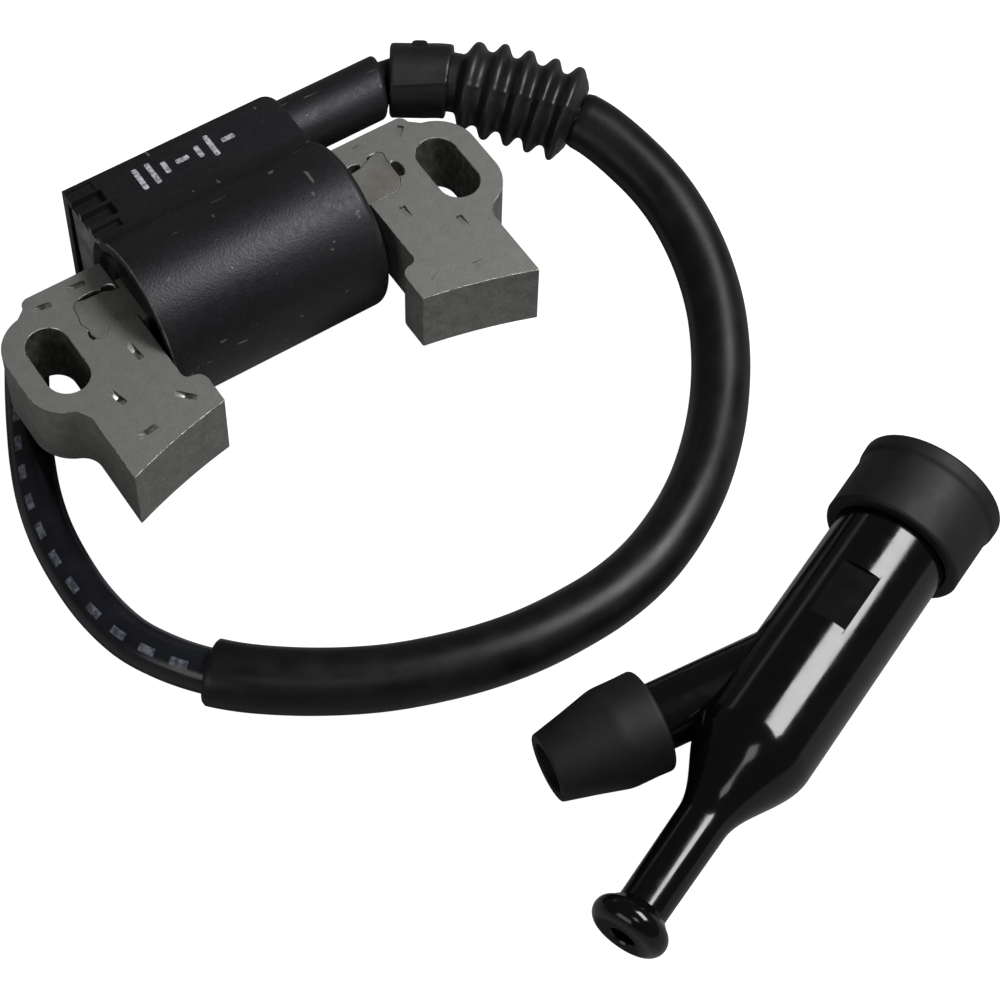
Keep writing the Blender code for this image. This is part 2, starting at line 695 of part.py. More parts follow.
def cap_body(mat, parent):
    start, end = CAP_TUBE
    flare, tip = CAP_FLARE
    rim = (tip - flare - 1.0) / 2
    profile = [(start, 0), (start, CAP_TUBE_RADIUS)]
    profile += eased(end, CAP_CONE_END, CAP_TUBE_RADIUS, CAP_NECK_RADIUS, 7)
    profile += [(flare, CAP_NECK_RADIUS - 0.2)]
    for x, y in arc((0, 0), 1.0, 150, 0, 6):
        profile.append((tip - rim + x * rim, CAP_FLARE_RADIUS - rim * (1 - y)))
    profile += [(tip, 0)]
    body = solid("cap_body", turned(profile), mat, parent, cap_matrix())
    branch = [(4, 0), (4, BRANCH_RADIUS), (BRANCH_END, BRANCH_RADIUS), (BRANCH_END, 0)]
    combine(body, solid("branch", turned(branch, 24), mat, parent, branch_matrix()), "UNION")
    room = [(start - 1, 0), (start - 1, CAP_BORE), (CAP_BORE_END - 3, CAP_BORE), (CAP_BORE_END, 0)]
    combine(body, solid("plug_room", turned(room, 24), mat, parent, cap_matrix()), "DIFFERENCE")
    bore = [(6, 0), (6, BRANCH_BORE), (BRANCH_END + 1, BRANCH_BORE), (BRANCH_END + 1, 0)]
    combine(body, solid("cable_room", turned(bore, 24), mat, parent, branch_matrix()), "DIFFERENCE")
    radius, depth = CAP_END_HOLE
    hole = [(tip - depth, 0), (tip - depth, radius), (tip + 1, radius), (tip + 1, 0)]
    combine(body, solid("end_hole", turned(hole, 12), mat, parent, cap_matrix()), "DIFFERENCE")
    low, high, width = CAP_FLAT
    height = sqrt(CAP_TUBE_RADIUS**2 - (width / 2) ** 2)
    flat = rounded_box((low, -width / 2 - 1, height), (high, width / 2 + 1, CAP_TUBE_RADIUS + 1))
    combine(body, solid("label_flat", flat, mat, parent, cap_matrix()), "DIFFERENCE")


def plug_seal(mat, parent):
    low, high = PLUG_SEAL
    edge = 1.6
    profile = arc((low + edge, PLUG_SEAL_RADIUS - edge), edge, 180, 90, 3)
    profile += arc((high - edge, PLUG_SEAL_RADIUS - edge), edge, 90, 0, 3)
    fit = CAP_TUBE_RADIUS + GAP
    profile += [(high, fit), (CAP_TUBE[0] - GAP, fit), (CAP_TUBE[0] - GAP, PLUG_SEAL_BORE)]
    profile += [(low - 1.2, PLUG_SEAL_BORE), (low - 1.2, 10.8), (low, 11.2)]
    solid("plug_seal", turned(profile), mat, parent, cap_matrix())


def cable_seal(mat, parent):
    low, shoulder, tip = CABLE_SEAL
    wide, narrow = CABLE_SEAL_RADII
    fit = BRANCH_RADIUS + GAP
    profile = arc((low + 1.0, wide - 1.0), 1.0, 180, 90, 3)
    profile += [(shoulder, wide), (tip, narrow), (tip, BRANCH_BORE)]
    profile += [(BRANCH_END + GAP, BRANCH_BORE), (BRANCH_END + GAP, fit), (low, fit)]
    solid("cable_seal", turned(profile, 28), mat, parent, branch_matrix())


def cap_contacts(mats, parent):
    """The current path in the cap: a screw into the lead, a resistor, a spring and the plug clip."""
    screw = [(26.0, 0), (26.0, 3.6), (28.0, 3.6), (28.0, 1.2), (34.0, 1.2), (36.0, 0)]
    resistor = [(17.4, 0), (17.4, 2.6), (25.7, 2.6), (25.7, 0)]
    solid("cable_screw", turned(screw, 16), mats["brass"], parent, branch_matrix())
    solid("cap_resistor", turned(resistor, 16), mats["ceramic"], parent, branch_matrix())
    clip = [(20.0, 4.3), (20.0, 5.1), (31.5, 5.1), (31.5, 0), (30.7, 0), (30.7, 4.3)]
    solid("plug_clip", turned(clip, 20), mats["brass"], parent, cap_matrix())


def build():
    clear_scene()
    frame = empty("frame", tuple(-c for c in BASE_CENTRE))
    steel = material("lamination_steel", (0.2, 0.2, 0.19), 0.45, 0.8)
    plastic = material("case_plastic", (0.03, 0.03, 0.032), 0.45)
    mats = {
        "bobbin": material("bobbin_nylon", (0.05, 0.05, 0.05), 0.5),
        "copper": material("copper_wire", (0.6, 0.25, 0.12), 0.3, 1.0),
        "enamel": material("fine_enamelled_wire", (0.45, 0.16, 0.07), 0.35, 0.8),
        "board": material("circuit_board", (0.05, 0.16, 0.07), 0.5),
        "chip": material("chip_epoxy", (0.02, 0.02, 0.02), 0.4),
        "capacitor": material("capacitor_resin", (0.5, 0.3, 0.08), 0.4),
        "tin": material("tinned_brass", (0.6, 0.6, 0.58), 0.3, 1.0),
        "brass": material("brass", (0.6, 0.45, 0.18), 0.3, 1.0),
        "ceramic": material("ceramic", (0.8, 0.78, 0.72), 0.5),
        "rubber": material("boot_rubber", (0.02, 0.02, 0.021), 0.55),
        "sleeve": material("sleeve_vinyl", (0.02, 0.02, 0.02), 0.45),
        "lead": material("lead_insulation", (0.015, 0.015, 0.02), 0.3),
    }
    pole_core("left_pole_core", -1, steel, frame)
    pole_core("right_pole_core", 1, steel, frame)
    centre_bar(steel, frame)
    coil_case(plastic, frame)
    potting(material("potting_resin", (0.05, 0.05, 0.055), 0.2), frame)
    windings(mats, frame)
    circuit(mats, frame)
    ht_terminal(mats["brass"], frame)
    lead_parts(mats, frame)
    cap_body(material("cap_phenolic", (0.01, 0.01, 0.011), 0.12), frame)
    plug_seal(mats["rubber"], frame)
    cable_seal(mats["rubber"], frame)
    cap_contacts(mats, frame)


build()
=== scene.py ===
"""Visual model of a small-engine ignition coil with its high-tension lead and a loose plug cap.

Shapes are made in millimetres in the coil frame: X along the coil's axis, the poles facing -Y and
Z = 0 on the underside of the laminated core. TO_ROW turns them into metres in the row frame.
"""

from math import atan2, cos, degrees, pi, radians, sin, sqrt

import bmesh
import bpy
from mathutils import Matrix, Vector, noise


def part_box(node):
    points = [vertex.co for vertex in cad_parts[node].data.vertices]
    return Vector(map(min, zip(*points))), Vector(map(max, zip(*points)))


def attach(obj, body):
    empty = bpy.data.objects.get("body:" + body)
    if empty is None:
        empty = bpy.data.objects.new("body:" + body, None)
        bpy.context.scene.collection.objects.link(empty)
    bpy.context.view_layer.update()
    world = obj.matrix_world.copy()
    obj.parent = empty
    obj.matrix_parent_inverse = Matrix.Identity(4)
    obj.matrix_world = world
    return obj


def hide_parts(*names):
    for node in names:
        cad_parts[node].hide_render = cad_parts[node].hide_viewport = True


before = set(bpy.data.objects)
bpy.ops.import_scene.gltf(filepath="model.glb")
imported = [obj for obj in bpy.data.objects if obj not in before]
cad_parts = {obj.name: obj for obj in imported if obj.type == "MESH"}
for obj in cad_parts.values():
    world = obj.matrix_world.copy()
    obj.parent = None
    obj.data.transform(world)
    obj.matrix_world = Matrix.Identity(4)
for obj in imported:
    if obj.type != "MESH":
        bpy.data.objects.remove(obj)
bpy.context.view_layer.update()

MM = 0.001
CORE_THICK, LEG_BACK_Y = 14.0, 14.8
LEFT_LEG, RIGHT_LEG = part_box("left_pole_core"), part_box("right_pole_core")
ORIGIN = Vector(
    (
        (LEFT_LEG[0].x + RIGHT_LEG[1].x) / 2,
        RIGHT_LEG[1].y - LEG_BACK_Y * MM,
        RIGHT_LEG[0].z,
    )
)
TO_ROW = Matrix.Translation(ORIGIN) @ Matrix.Scale(MM, 4)

# Laminated core
POLE_ARC_CENTRE_Y, POLE_ARC_RADIUS = -137.8, 116.7
POLE_INNER_X, LEG_INNER_X, LEG_OUTER_X = 20.05, 23.6, 40.95
LEG_STEP_Y = -15.2
SLOT_X, SLOT_RADIUS, SLOT_HALF_STRAIGHT = 40.0, 3.9, 3.65
EAR_RADIUS, EAR_FILLET = 8.0, 4.0
BAR_Y, BAR_HALF_WIDTH = 4.8, 5.1
EDGE_WEAR = 0.13

# Case
BARREL_Y, BARREL_Z, BARREL_HALF = 4.2, 7.0, (15.5, 17.0)
BARREL_X, BOX_X, BOX_Y, BOX_Z = (-23.0, 21.0), (-23.0, 20.0), (4.0, 28.5), (-5.6, 19.7)
BOX_DRAFT, BOX_CORNER, WALL = 1.3, 2.6, 1.8
TOWER_Y, TOWER_Z, TOWER_RADIUS, TOWER_END, TOWER_SLANT = 23.5, 13.3, 5.8, 40.5, 0.315
TOWER_BEND_X, TOWER_TURN, TOWER_NECK_RADIUS, NECK_LENGTH = 43.15, -33.4, 4.05, 6.0
SPIGOT_BORE, COLLAR_BACK = 4.8, 0.6

# Lead, sleeve and boot
LEAD_RADIUS = 4.0
SLEEVE_BORE, SLEEVE_RADII, SLEEVE_FROM_END = 4.35, (5.35, 5.85), 79.6
BOOT_LENGTH, BOOT_COLLAR = 35.6, 11.2
BOOT_RADII = (6.9, 5.5, 7.0, 9.1)
RIB_FIRST, RIB_PITCH, RIB_COUNT = 15.1, 4.55, 5
LEAD_START = 8.0
DASH_PITCH, DASH_TURN, DASH_HALF_WIDTH = 0.0062, 0.33, 0.028  # metres, then shares of a turn
# Centre line of the lead: traced at even steps through the fitted camera, then edited
ROUTE = [
    (42.65, 23.83, 13.25), (47.3, 20.75, 13.2), (51.9, 17.6, 13.1), (57.9, 11.4, 12.45),
    (64.1, 4.9, 11.1), (69.8, -2.7, 9.4), (73.0, -12.0, 7.0), (74.4, -21.5, 4.6),
    (73.6, -31.5, 1.9), (70.9, -41.0, -0.4), (66.6, -49.6, -2.3), (61.0, -57.5, -3.8),
    (54.2, -64.8, -4.5), (46.3, -71.4, -4.6), (37.8, -76.5, -4.6), (29.0, -80.1, -4.6),
    (20.1, -81.9, -4.6), (11.3, -82.2, -4.6), (2.9, -81.7, -4.5), (-5.3, -80.2, -4.4),
    (-13.1, -77.9, -4.3), (-20.6, -75.0, -4.2), (-27.8, -71.2, -4.15), (-34.7, -66.8, -4.05),
    (-41.1, -61.8, -4.0), (-46.1, -56.5, -4.1), (-49.8, -50.4, -5.1), (-52.6, -43.8, -5.9),
    (-54.2, -36.0, -6.0), (-54.5, -28.0, -6.0), (-53.8, -19.0, -6.0), (-52.0, -10.8, -6.0),
    (-49.3, -3.2, -6.0), (-46.2, 3.8, -6.0), (-43.1, 10.2, -6.0), (-40.0, 16.2, -6.0),
]

# Spark plug cap
CAP_START, CAP_HEADING, CAP_TILT = (61.5, -104.3, 3.2), -157.5, -3.64
CAP_TUBE_RADIUS, CAP_BORE, CAP_BORE_END = 10.4, 7.9, 37.0
CAP_TUBE, CAP_CONE_END, CAP_NECK_RADIUS = (-12.0, 43.2), 59.8, 4.5
CAP_FLARE, CAP_FLARE_RADIUS, CAP_END_HOLE = (77.6, 83.4), 6.8, (2.2, 10.0)
BRANCH_START, BRANCH_ANGLE, BRANCH_RADIUS, BRANCH_END, BRANCH_BORE = 19.2, 29.4, 5.9, 42.0, 4.3
CABLE_SEAL, CABLE_SEAL_RADII = (33.6, 41.3, 53.0), (9.0, 6.0)
PLUG_SEAL, PLUG_SEAL_RADIUS, PLUG_SEAL_BORE = (-15.7, -1.0), 13.3, 5.4
CAP_FLAT = (10.1, 21.6, 6.8)
GAP = 0.3

# Camera: lens in mm on a 36 mm sensor, place in the coil frame, and its right and down directions
CAMERA_LENS, CAMERA_PLACE = 102.316, (-142.23, -279.08, 410.70)
CAMERA_RIGHT, CAMERA_DOWN = (0.83343, -0.55232, 0.01818), (-0.45306, -0.70174, -0.54982)


# ---------------- camera


def linked(name, data):
    """A new object in the scene."""
    obj = bpy.data.objects.new(name, data)
    bpy.context.scene.collection.objects.link(obj)
    return obj


def make_camera():
    data = bpy.data.cameras.new("camera")
    data.lens, data.sensor_width, data.clip_start = CAMERA_LENS, 36.0, 0.01
    camera = linked("camera", data)
    right, down = Vector(CAMERA_RIGHT), Vector(CAMERA_DOWN)
    back = -right.cross(down)
    turn = Matrix((right, -down, back)).transposed().to_4x4()
    camera.matrix_world = Matrix.Translation(TO_ROW @ Vector(CAMERA_PLACE)) @ turn
    bpy.context.scene.camera = camera


# ---------------- mesh tools


def around(count):
    """Angles of even steps round a circle."""
    return [2 * pi * k / count for k in range(count)]


def arc(centre, radius, start, end, count):
    """Points on an arc, angles in degrees, both ends included."""
    turns = [radians(start + (end - start) * i / count) for i in range(count + 1)]
    return [(centre[0] + radius * cos(a), centre[1] + radius * sin(a)) for a in turns]


def loft(rings, closed=True, caps=True, slots=None):
    """A bmesh through rings of as many points each; a closed ring is capped at both ends."""
    bm = bmesh.new()
    rows = [[bm.verts.new(p) for p in ring] for ring in rings]
    count = len(rows[0])
    for i, (a, b) in enumerate(zip(rows, rows[1:])):
        for k in range(count if closed else count - 1):
            m = (k + 1) % count
            face = bm.faces.new((a[k], a[m], b[m], b[k]))
            if slots:
                face.material_index = slots[i]
    if caps:
        bm.faces.new(rows[0])
        bm.faces.new(rows[-1])
    bmesh.ops.recalc_face_normals(bm, faces=bm.faces)
    return bm


def prism(outline, low, high):
    return loft([[(x, y, z) for x, y in outline] for z in (low, high)])


def x_prism(outline, stations):
    """A bmesh along X; each station is (x, inset), and outline(inset) gives (y, z) points."""
    return loft([[(x, y, z) for y, z in outline(inset)] for x, inset in stations])


def turned(profile, sides=96):
    """A bmesh turned about X from (x, radius) points.

    The profile starts and ends on the axis, or keeps off it and closes into a ring."""
    bm = bmesh.new()
    rings = []
    for x, radius in profile:
        if radius == 0:
            rings.append([bm.verts.new((x, 0, 0))])
            continue
        rings.append([bm.verts.new((x, radius * cos(a), radius * sin(a))) for a in around(sides)])
    ringed = profile[0][1] > 0
    for i, ring in enumerate(rings if ringed else rings[:-1]):
        after = rings[(i + 1) % len(rings)]
        for k in range(sides):
            m = (k + 1) % sides
            if len(ring) > 1 and len(after) > 1:
                bm.faces.new((ring[k], ring[m], after[m], after[k]))
            elif len(ring) > 1:
                bm.faces.new((ring[k], ring[m], after[0]))
            else:
                bm.faces.new((ring[0], after[m], after[k]))
    bmesh.ops.recalc_face_normals(bm, faces=bm.faces)
    return bm


def block(low, high):
    (x0, y0, z0), (x1, y1, z1) = low, high
    return prism([(x0, y0), (x1, y0), (x1, y1), (x0, y1)], z0, z1)


def round_edges(bm, test, offset, segments=3, slot=-1):
    """Rounds the edges whose two ends pass a test."""
    edges = [e for e in bm.edges if all(test(v.co) for v in e.verts)]
    bmesh.ops.bevel(
        bm, geom=edges, offset=offset, segments=segments, profile=0.5, affect="EDGES", material=slot
    )
    return bm


def mesh_of(name, bm):
    mesh = bpy.data.meshes.new(name)
    bm.to_mesh(mesh)
    bm.free()
    return mesh


def scratch_object(bm):
    """A throwaway object for a Boolean, with enough material slots to keep each face's number."""
    mesh = mesh_of("scratch", bm)
    for spare in PLACEHOLDERS:
        mesh.materials.append(spare)
    return linked("scratch", mesh)


def combined(base, steps):
    """base after a list of (operation, bmesh) Booleans, as one new bmesh."""
    target = scratch_object(base)
    helpers = []
    for operation, bm in steps:
        other = scratch_object(bm)
        step = target.modifiers.new("step", "BOOLEAN")
        step.operation, step.solver, step.object = operation, "EXACT", other
        helpers.append(other)
    graph = bpy.context.evaluated_depsgraph_get()
    mesh = bpy.data.meshes.new_from_object(target.evaluated_get(graph))
    result = bmesh.new()
    result.from_mesh(mesh)
    for obj in (target, *helpers):
        old = obj.data
        bpy.data.objects.remove(obj)
        bpy.data.meshes.remove(old)
    bpy.data.meshes.remove(mesh)
    return result


def add_piece(name, bm, looks, body="coil", nodes=(), matrix=None, sharp=32, even=False):
    """Turns a bmesh in millimetres into a piece that rides on a body and stands for CAD nodes."""
    bm.transform(TO_ROW @ (matrix or Matrix()))
    mesh = mesh_of(name, bm)
    for look in looks if isinstance(looks, (list, tuple)) else [looks]:
        mesh.materials.append(look)
    mesh.polygons.foreach_set("use_smooth", [True] * len(mesh.polygons))
    mesh.set_sharp_from_angle(angle=radians(sharp))
    obj = linked(name, mesh)
    if even:
        step = obj.modifiers.new("even_normals", "WEIGHTED_NORMAL")
        step.keep_sharp = True
    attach(obj, body)
    if nodes:
        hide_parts(*nodes)
    return obj


def smooth_route(points, step):
    """Points about one step apart on a smooth curve through the route's points."""
    guide = [Vector(p) for p in points]
    guide = [2 * guide[0] - guide[1], *guide, 2 * guide[-1] - guide[-2]]
    fine = []
    for a, b, c, d in zip(guide, guide[1:], guide[2:], guide[3:]):
        for i in range(20):
            t = i / 20
            cubic = 2 * a - 5 * b + 4 * c - d
            fine.append(0.5 * (2 * b + (c - a) * t + cubic * t**2 + (3 * b - a - 3 * c + d) * t**3))
    fine.append(guide[-2])
    reach = [0.0]
    for a, b in zip(fine, fine[1:]):
        reach.append(reach[-1] + (b - a).length)
    count = max(2, round(reach[-1] / step))
    spaced, k = [], 0
    for i in range(count + 1):
        goal = reach[-1] * i / count
        while k < len(reach) - 2 and reach[k + 1] < goal:
            k += 1
        share = (goal - reach[k]) / (reach[k + 1] - reach[k])
        spaced.append(fine[k].lerp(fine[k + 1], share))
    return spaced


def length_of(path):
    return sum((b - a).length for a, b in zip(path, path[1:]))


def stretch(path, start, end):
    """The part of a path between two lengths along it."""
    kept, reach = [], 0.0
    for a, b in zip(path, path[1:]):
        step = (b - a).length
        for goal in (start, end):
            if reach <= goal < reach + step:
                kept.append(a.lerp(b, (goal - reach) / step))
        if start < reach + step < end:
            kept.append(b)
        reach += step
    return kept


def swept(path, profiles, sides, closed_ends=False):
    """A bmesh tube along a path. Each profile gives the radius from (length along, turn angle).

    The faces carry a map: the length along the tube in metres, and the turn as a fraction."""
    bm = bmesh.new()
    uv = bm.loops.layers.uv.new("along")
    frames, reach = [], 0.0
    for i, point in enumerate(path):
        reach += (point - path[max(i - 1, 0)]).length
        along = (path[min(i + 1, len(path) - 1)] - path[max(i - 1, 0)]).normalized()
        side = along.cross(Vector((0, 0, 1))).normalized()
        frames.append((point, side, side.cross(along), reach))
    layers = []
    for profile in profiles:
        rows = []
        for point, side, up, reach in frames:
            spots = [
                point + profile(reach, a) * (side * cos(a) + up * sin(a)) for a in around(sides)
            ]
            rows.append([bm.verts.new(spot) for spot in spots])
        layers.append(rows)

    def skin(a, b, k, reach_a, reach_b):
        m = (k + 1) % sides
        face = bm.faces.new((a[k], a[m], b[m], b[k]))
        corners = ((reach_a, k), (reach_a, k + 1), (reach_b, k + 1), (reach_b, k))
        for loop, (s, turn) in zip(face.loops, corners):
            loop[uv].uv = (s * MM, turn / sides)

    for rows in layers:
        for i in range(len(rows) - 1):
            for k in range(sides):
                skin(rows[i], rows[i + 1], k, frames[i][3], frames[i + 1][3])
    for end in (0, -1):
        if closed_ends:
            bm.faces.new(layers[0][end])
        else:
            for k in range(sides):
                skin(layers[0][end], layers[1][end], k, frames[end][3], frames[end][3])
    bmesh.ops.recalc_face_normals(bm, faces=bm.faces)
    return bm


# ---------------- materials


class Look:
    """A procedural material, built up from short calls."""

    def __init__(self, name, colour=(0.5, 0.5, 0.5), roughness=0.5, metallic=0.0, coat=0.0):
        self.material = bpy.data.materials.new(name)
        self.material.use_nodes = True
        self.tree = self.material.node_tree
        self.shader = self.tree.nodes["Principled BSDF"]
        self.shader.inputs["Base Color"].default_value = (*colour, 1.0)
        self.shader.inputs["Roughness"].default_value = roughness
        self.shader.inputs["Metallic"].default_value = metallic
        self.shader.inputs["Coat Weight"].default_value = coat
        self.place = self.node("TexCoord").outputs["Object"]
        self.height = None

    def node(self, kind, **inputs):
        made = self.tree.nodes.new("ShaderNode" + kind)
        for key, value in inputs.items():
            self.feed(made.inputs[key.replace("_", " ")], value)
        return made

    def feed(self, socket, value):
        if isinstance(value, bpy.types.NodeSocket):
            self.tree.links.new(value, socket)
        else:
            socket.default_value = value

    def stretched(self, scale):
        return self.node("Mapping", Vector=self.place, Scale=scale).outputs[0]

    def noise(self, scale, detail=3.0, place=None, rough=0.55):
        made = self.node("TexNoise", Vector=place or self.place, Scale=scale, Detail=detail)
        made.inputs["Roughness"].default_value = rough
        return made.outputs["Fac"]

    def remap(self, value, low, high, to_low=0.0, to_high=1.0):
        made = self.node("MapRange")
        keys = ("Value", "From Min", "From Max", "To Min", "To Max")
        for key, part in zip(keys, (value, low, high, to_low, to_high)):
            self.feed(made.inputs[key], part)
        return made.outputs["Result"]

    def maths(self, operation, a, b=0.0):
        made = self.node("Math")
        made.operation = operation
        self.feed(made.inputs[0], a)
        self.feed(made.inputs[1], b)
        return made.outputs[0]

    def blend(self, share, a, b):
        """Colour a where share is 0, b where it is 1."""
        made = self.node("Mix")
        made.data_type = "RGBA"
        self.feed(made.inputs["Factor"], share)
        for socket, value in ((made.inputs[6], a), (made.inputs[7], b)):
            self.feed(socket, (*value, 1.0) if isinstance(value, tuple) else value)
        return made.outputs[2]

    def colour(self, value):
        self.feed(self.shader.inputs["Base Color"], value)
        return self

    def roughness(self, value):
        self.feed(self.shader.inputs["Roughness"], value)
        return self

    def bump(self, height, distance, strength=1.0):
        """Adds a bump layer; distance is in millimetres."""
        made = self.node("Bump", Height=height, Strength=strength, Distance=distance * MM)
        if self.height:
            self.feed(made.inputs["Normal"], self.height)
        self.height = made.outputs["Normal"]
        self.feed(self.shader.inputs["Normal"], self.height)
        return self


def steel_look(name, light, dark, roughness, brown=0.0):
    """Blasted lamination steel: fine grain, mottling, a line between the sheets on the sides, and painted
    shade that darkens the sides in mottled patches.
    """
    look = Look(name, roughness=roughness, metallic=0.75)
    mottle = look.noise(420, 5)
    grain = look.noise(2100, 4)
    base = look.blend(look.remap(mottle, 0.25, 0.78), dark, light)
    base = look.blend(look.remap(grain, 0.38, 0.66, 0.0, 0.5), base, tuple(0.6 * c for c in dark))
    if brown:
        stain = look.remap(look.noise(150, 4), 0.4, 0.62, 0.0, brown)
        base = look.blend(stain, base, (0.16, 0.13, 0.085))
    wave = look.node("TexWave", Vector=look.place, Scale=628.0, Distortion=0.35)
    wave.bands_direction = "Z"
    sheets = look.remap(wave.outputs["Fac"], 0.0, 0.3)
    facing = look.node("SeparateXYZ", Vector=look.node("NewGeometry").outputs["Normal"]).outputs["Z"]
    side = look.remap(look.maths("ABSOLUTE", facing), 0.25, 0.45, 1.0, 0.0)
    line = look.maths("MULTIPLY", look.remap(sheets, 0.0, 1.0, 1.0, 0.0), side)
    # painted shade: side faces are blended in mottled patches towards a darker copy of the steel, so they
    # come out darker than the top
    shade = tuple(0.7 * c for c in dark)
    base = look.blend(look.maths("MULTIPLY", side, look.remap(mottle, 0.35, 0.6, 0.5, 0.0)), base, shade)
    look.colour(look.blend(look.maths("MULTIPLY", line, 0.3), base, (0.07, 0.065, 0.06)))
    look.roughness(look.remap(grain, 0.3, 0.7, roughness - 0.08, roughness + 0.1))
    look.bump(grain, 0.05, 0.6).bump(mottle, 0.04, 0.3)
    return look.bump(look.maths("MULTIPLY", look.remap(sheets, 0.0, 1.0, 0.0, 1.0), side), 0.03, 0.5).material


def bright_steel_look():
    # worn bare steel on the rounded edges; also used as a painted highlight on one slope of each left-leg
    # clinch dent
    look = Look("worn_steel_edge_and_dent_highlight", roughness=0.34, metallic=0.9)
    chips = look.remap(look.noise(700, 4), 0.36, 0.56)
    look.colour(look.blend(chips, (0.26, 0.26, 0.25), (0.78, 0.77, 0.74)))
    look.roughness(look.remap(look.noise(1800, 3), 0.3, 0.7, 0.24, 0.5))
    return look.bump(look.noise(2200, 3), 0.03, 0.5).material


def dent_look():
    """The slopes of a clinch dent, burnished by the punch."""
    look = Look("clinch_dent", roughness=0.3, metallic=0.85)
    smear = look.noise(1100, 4, look.stretched((1, 1, 0.4)))
    look.colour(look.blend(look.remap(smear, 0.38, 0.62), (0.13, 0.125, 0.12), (0.5, 0.49, 0.47)))
    look.roughness(look.remap(smear, 0.3, 0.7, 0.45, 0.28))
    return look.bump(smear, 0.08, 0.8).material


def slot_wall_look():
    # the slot's sheared wall; also used as painted shade on the dents' end walls and on the right dents'
    # steep slopes
    look = Look("slot_wall_and_dent_shade", roughness=0.45, metallic=0.8)
    burr = look.remap(look.noise(900, 5, look.stretched((1, 1, 0.5))), 0.63, 0.73)
    streak = look.noise(900, 4, look.stretched((1, 1, 0.5)))
    base = look.blend(look.remap(streak, 0.3, 0.7), (0.1, 0.098, 0.094), (0.28, 0.27, 0.255))
    look.colour(look.blend(burr, base, (0.5, 0.49, 0.46)))
    look.roughness(look.remap(burr, 0.0, 1.0, 0.5, 0.25))
    return look.bump(streak, 0.06, 0.6).bump(look.noise(1100, 4), 0.06, 0.5).material


def case_look():
    """Charcoal glass-filled nylon: pebbled satin skin, dust and a few fine scratches."""
    look = Look("case_plastic", roughness=0.42)
    look.shader.inputs["Specular Tint"].default_value = (0.93, 0.91, 1.0, 1.0)
    pebble = look.noise(2300, 2)
    cloud = look.noise(70, 4)
    scuffs = look.noise(110, 2, look.stretched((1.0, 9.0, 4.0)), 0.4)
    patches = look.remap(look.noise(60, 2), 0.48, 0.54)
    marks = look.maths("MULTIPLY", look.remap(scuffs, 0.715, 0.73), patches)
    nicks = look.noise(150, 2, look.stretched((3.0, 1.0, 5.0)), 0.4)
    marks = look.maths("ADD", marks, look.remap(nicks, 0.73, 0.745, 0.0, 0.8))
    dust = look.remap(look.noise(1500, 2), 0.72, 0.79, 0.0, 0.45)
    base = look.blend(look.remap(cloud, 0.35, 0.65), (0.0075, 0.0073, 0.0082), (0.0105, 0.0101, 0.0112))
    base = look.blend(look.remap(pebble, 0.35, 0.7, 0.0, 0.5), base, (0.014, 0.0135, 0.0148))
    base = look.blend(dust, base, (0.06, 0.06, 0.058))
    look.colour(look.blend(marks, base, (0.13, 0.13, 0.12)))
    along = look.node("SeparateXYZ", Vector=look.place).outputs["X"]
    duller = look.remap(along, ORIGIN.x - 0.005, ORIGIN.x + 0.035, 0.0, 0.13)
    satin = look.remap(look.noise(900, 3), 0.3, 0.7, 0.35, 0.47)
    look.roughness(look.maths("ADD", satin, duller))
    return look.bump(pebble, 0.06, 0.75).bump(look.noise(420, 3), 0.05, 0.3).material


def paint_look():
    look = Look("mark_paint", roughness=0.6)
    worn = look.remap(look.noise(1700, 4), 0.42, 0.62)
    look.colour(look.blend(worn, (0.62, 0.64, 0.7), (0.22, 0.23, 0.26)))
    return look.bump(look.noise(2500, 2), 0.02, 0.5).material


def resin_look(name, low, high, roughness):
    look = Look(name, roughness=roughness, coat=0.3)
    look.shader.inputs["Coat Roughness"].default_value = 0.08
    look.colour(look.blend(look.remap(look.noise(300, 4), 0.38, 0.64), low, high))
    look.roughness(look.remap(look.noise(700, 3), 0.3, 0.7, roughness, roughness + 0.18))
    return look.bump(look.noise(260, 3), 0.18, 0.6).material


def rubber_look(name, roughness, specks=0.4, tone=0.0065, shine=0.5):
    look = Look(name, roughness=roughness)
    look.shader.inputs["Specular IOR Level"].default_value = shine
    skin = look.noise(1800, 3)
    cloud = look.noise(160, 4)
    base = look.blend(look.remap(cloud, 0.35, 0.66), (tone,) * 3, (1.6 * tone,) * 3)
    dust = look.remap(look.noise(1300, 2), 0.73, 0.8, 0.0, specks)
    look.colour(look.blend(dust, base, (0.07, 0.07, 0.066)))
    look.roughness(look.remap(cloud, 0.3, 0.7, roughness - 0.06, roughness + 0.08))
    return look.bump(skin, 0.03, 0.45).bump(look.noise(380, 3), 0.06, 0.25).material


def lead_look():
    """Glossy insulation with a row of plain grey dashes where a real lead is printed."""
    look = Look("lead_insulation", roughness=0.2)
    spot = look.node("UVMap")
    spot.uv_map = "along"
    axes = look.node("SeparateXYZ", Vector=spot.outputs[0])
    pitch = look.maths("FRACT", look.maths("MULTIPLY", axes.outputs["X"], 1 / DASH_PITCH))
    dash = look.remap(pitch, 0.5, 0.53)
    lane = look.maths("COMPARE", axes.outputs["Y"], DASH_TURN)
    lane.node.inputs[2].default_value = DASH_HALF_WIDTH
    worn = look.remap(look.noise(900, 4), 0.36, 0.6, 1.0, 0.25)
    ink = look.maths("MULTIPLY", look.maths("MULTIPLY", dash, lane), worn)
    cloud = look.remap(look.noise(120, 3), 0.35, 0.65)
    base = look.blend(cloud, (0.006, 0.006, 0.009), (0.011, 0.012, 0.017))
    look.colour(look.blend(ink, base, (0.2, 0.215, 0.26)))
    look.roughness(look.remap(look.noise(500, 3), 0.3, 0.7, 0.16, 0.26))
    return look.bump(look.noise(300, 3), 0.03, 0.3).material


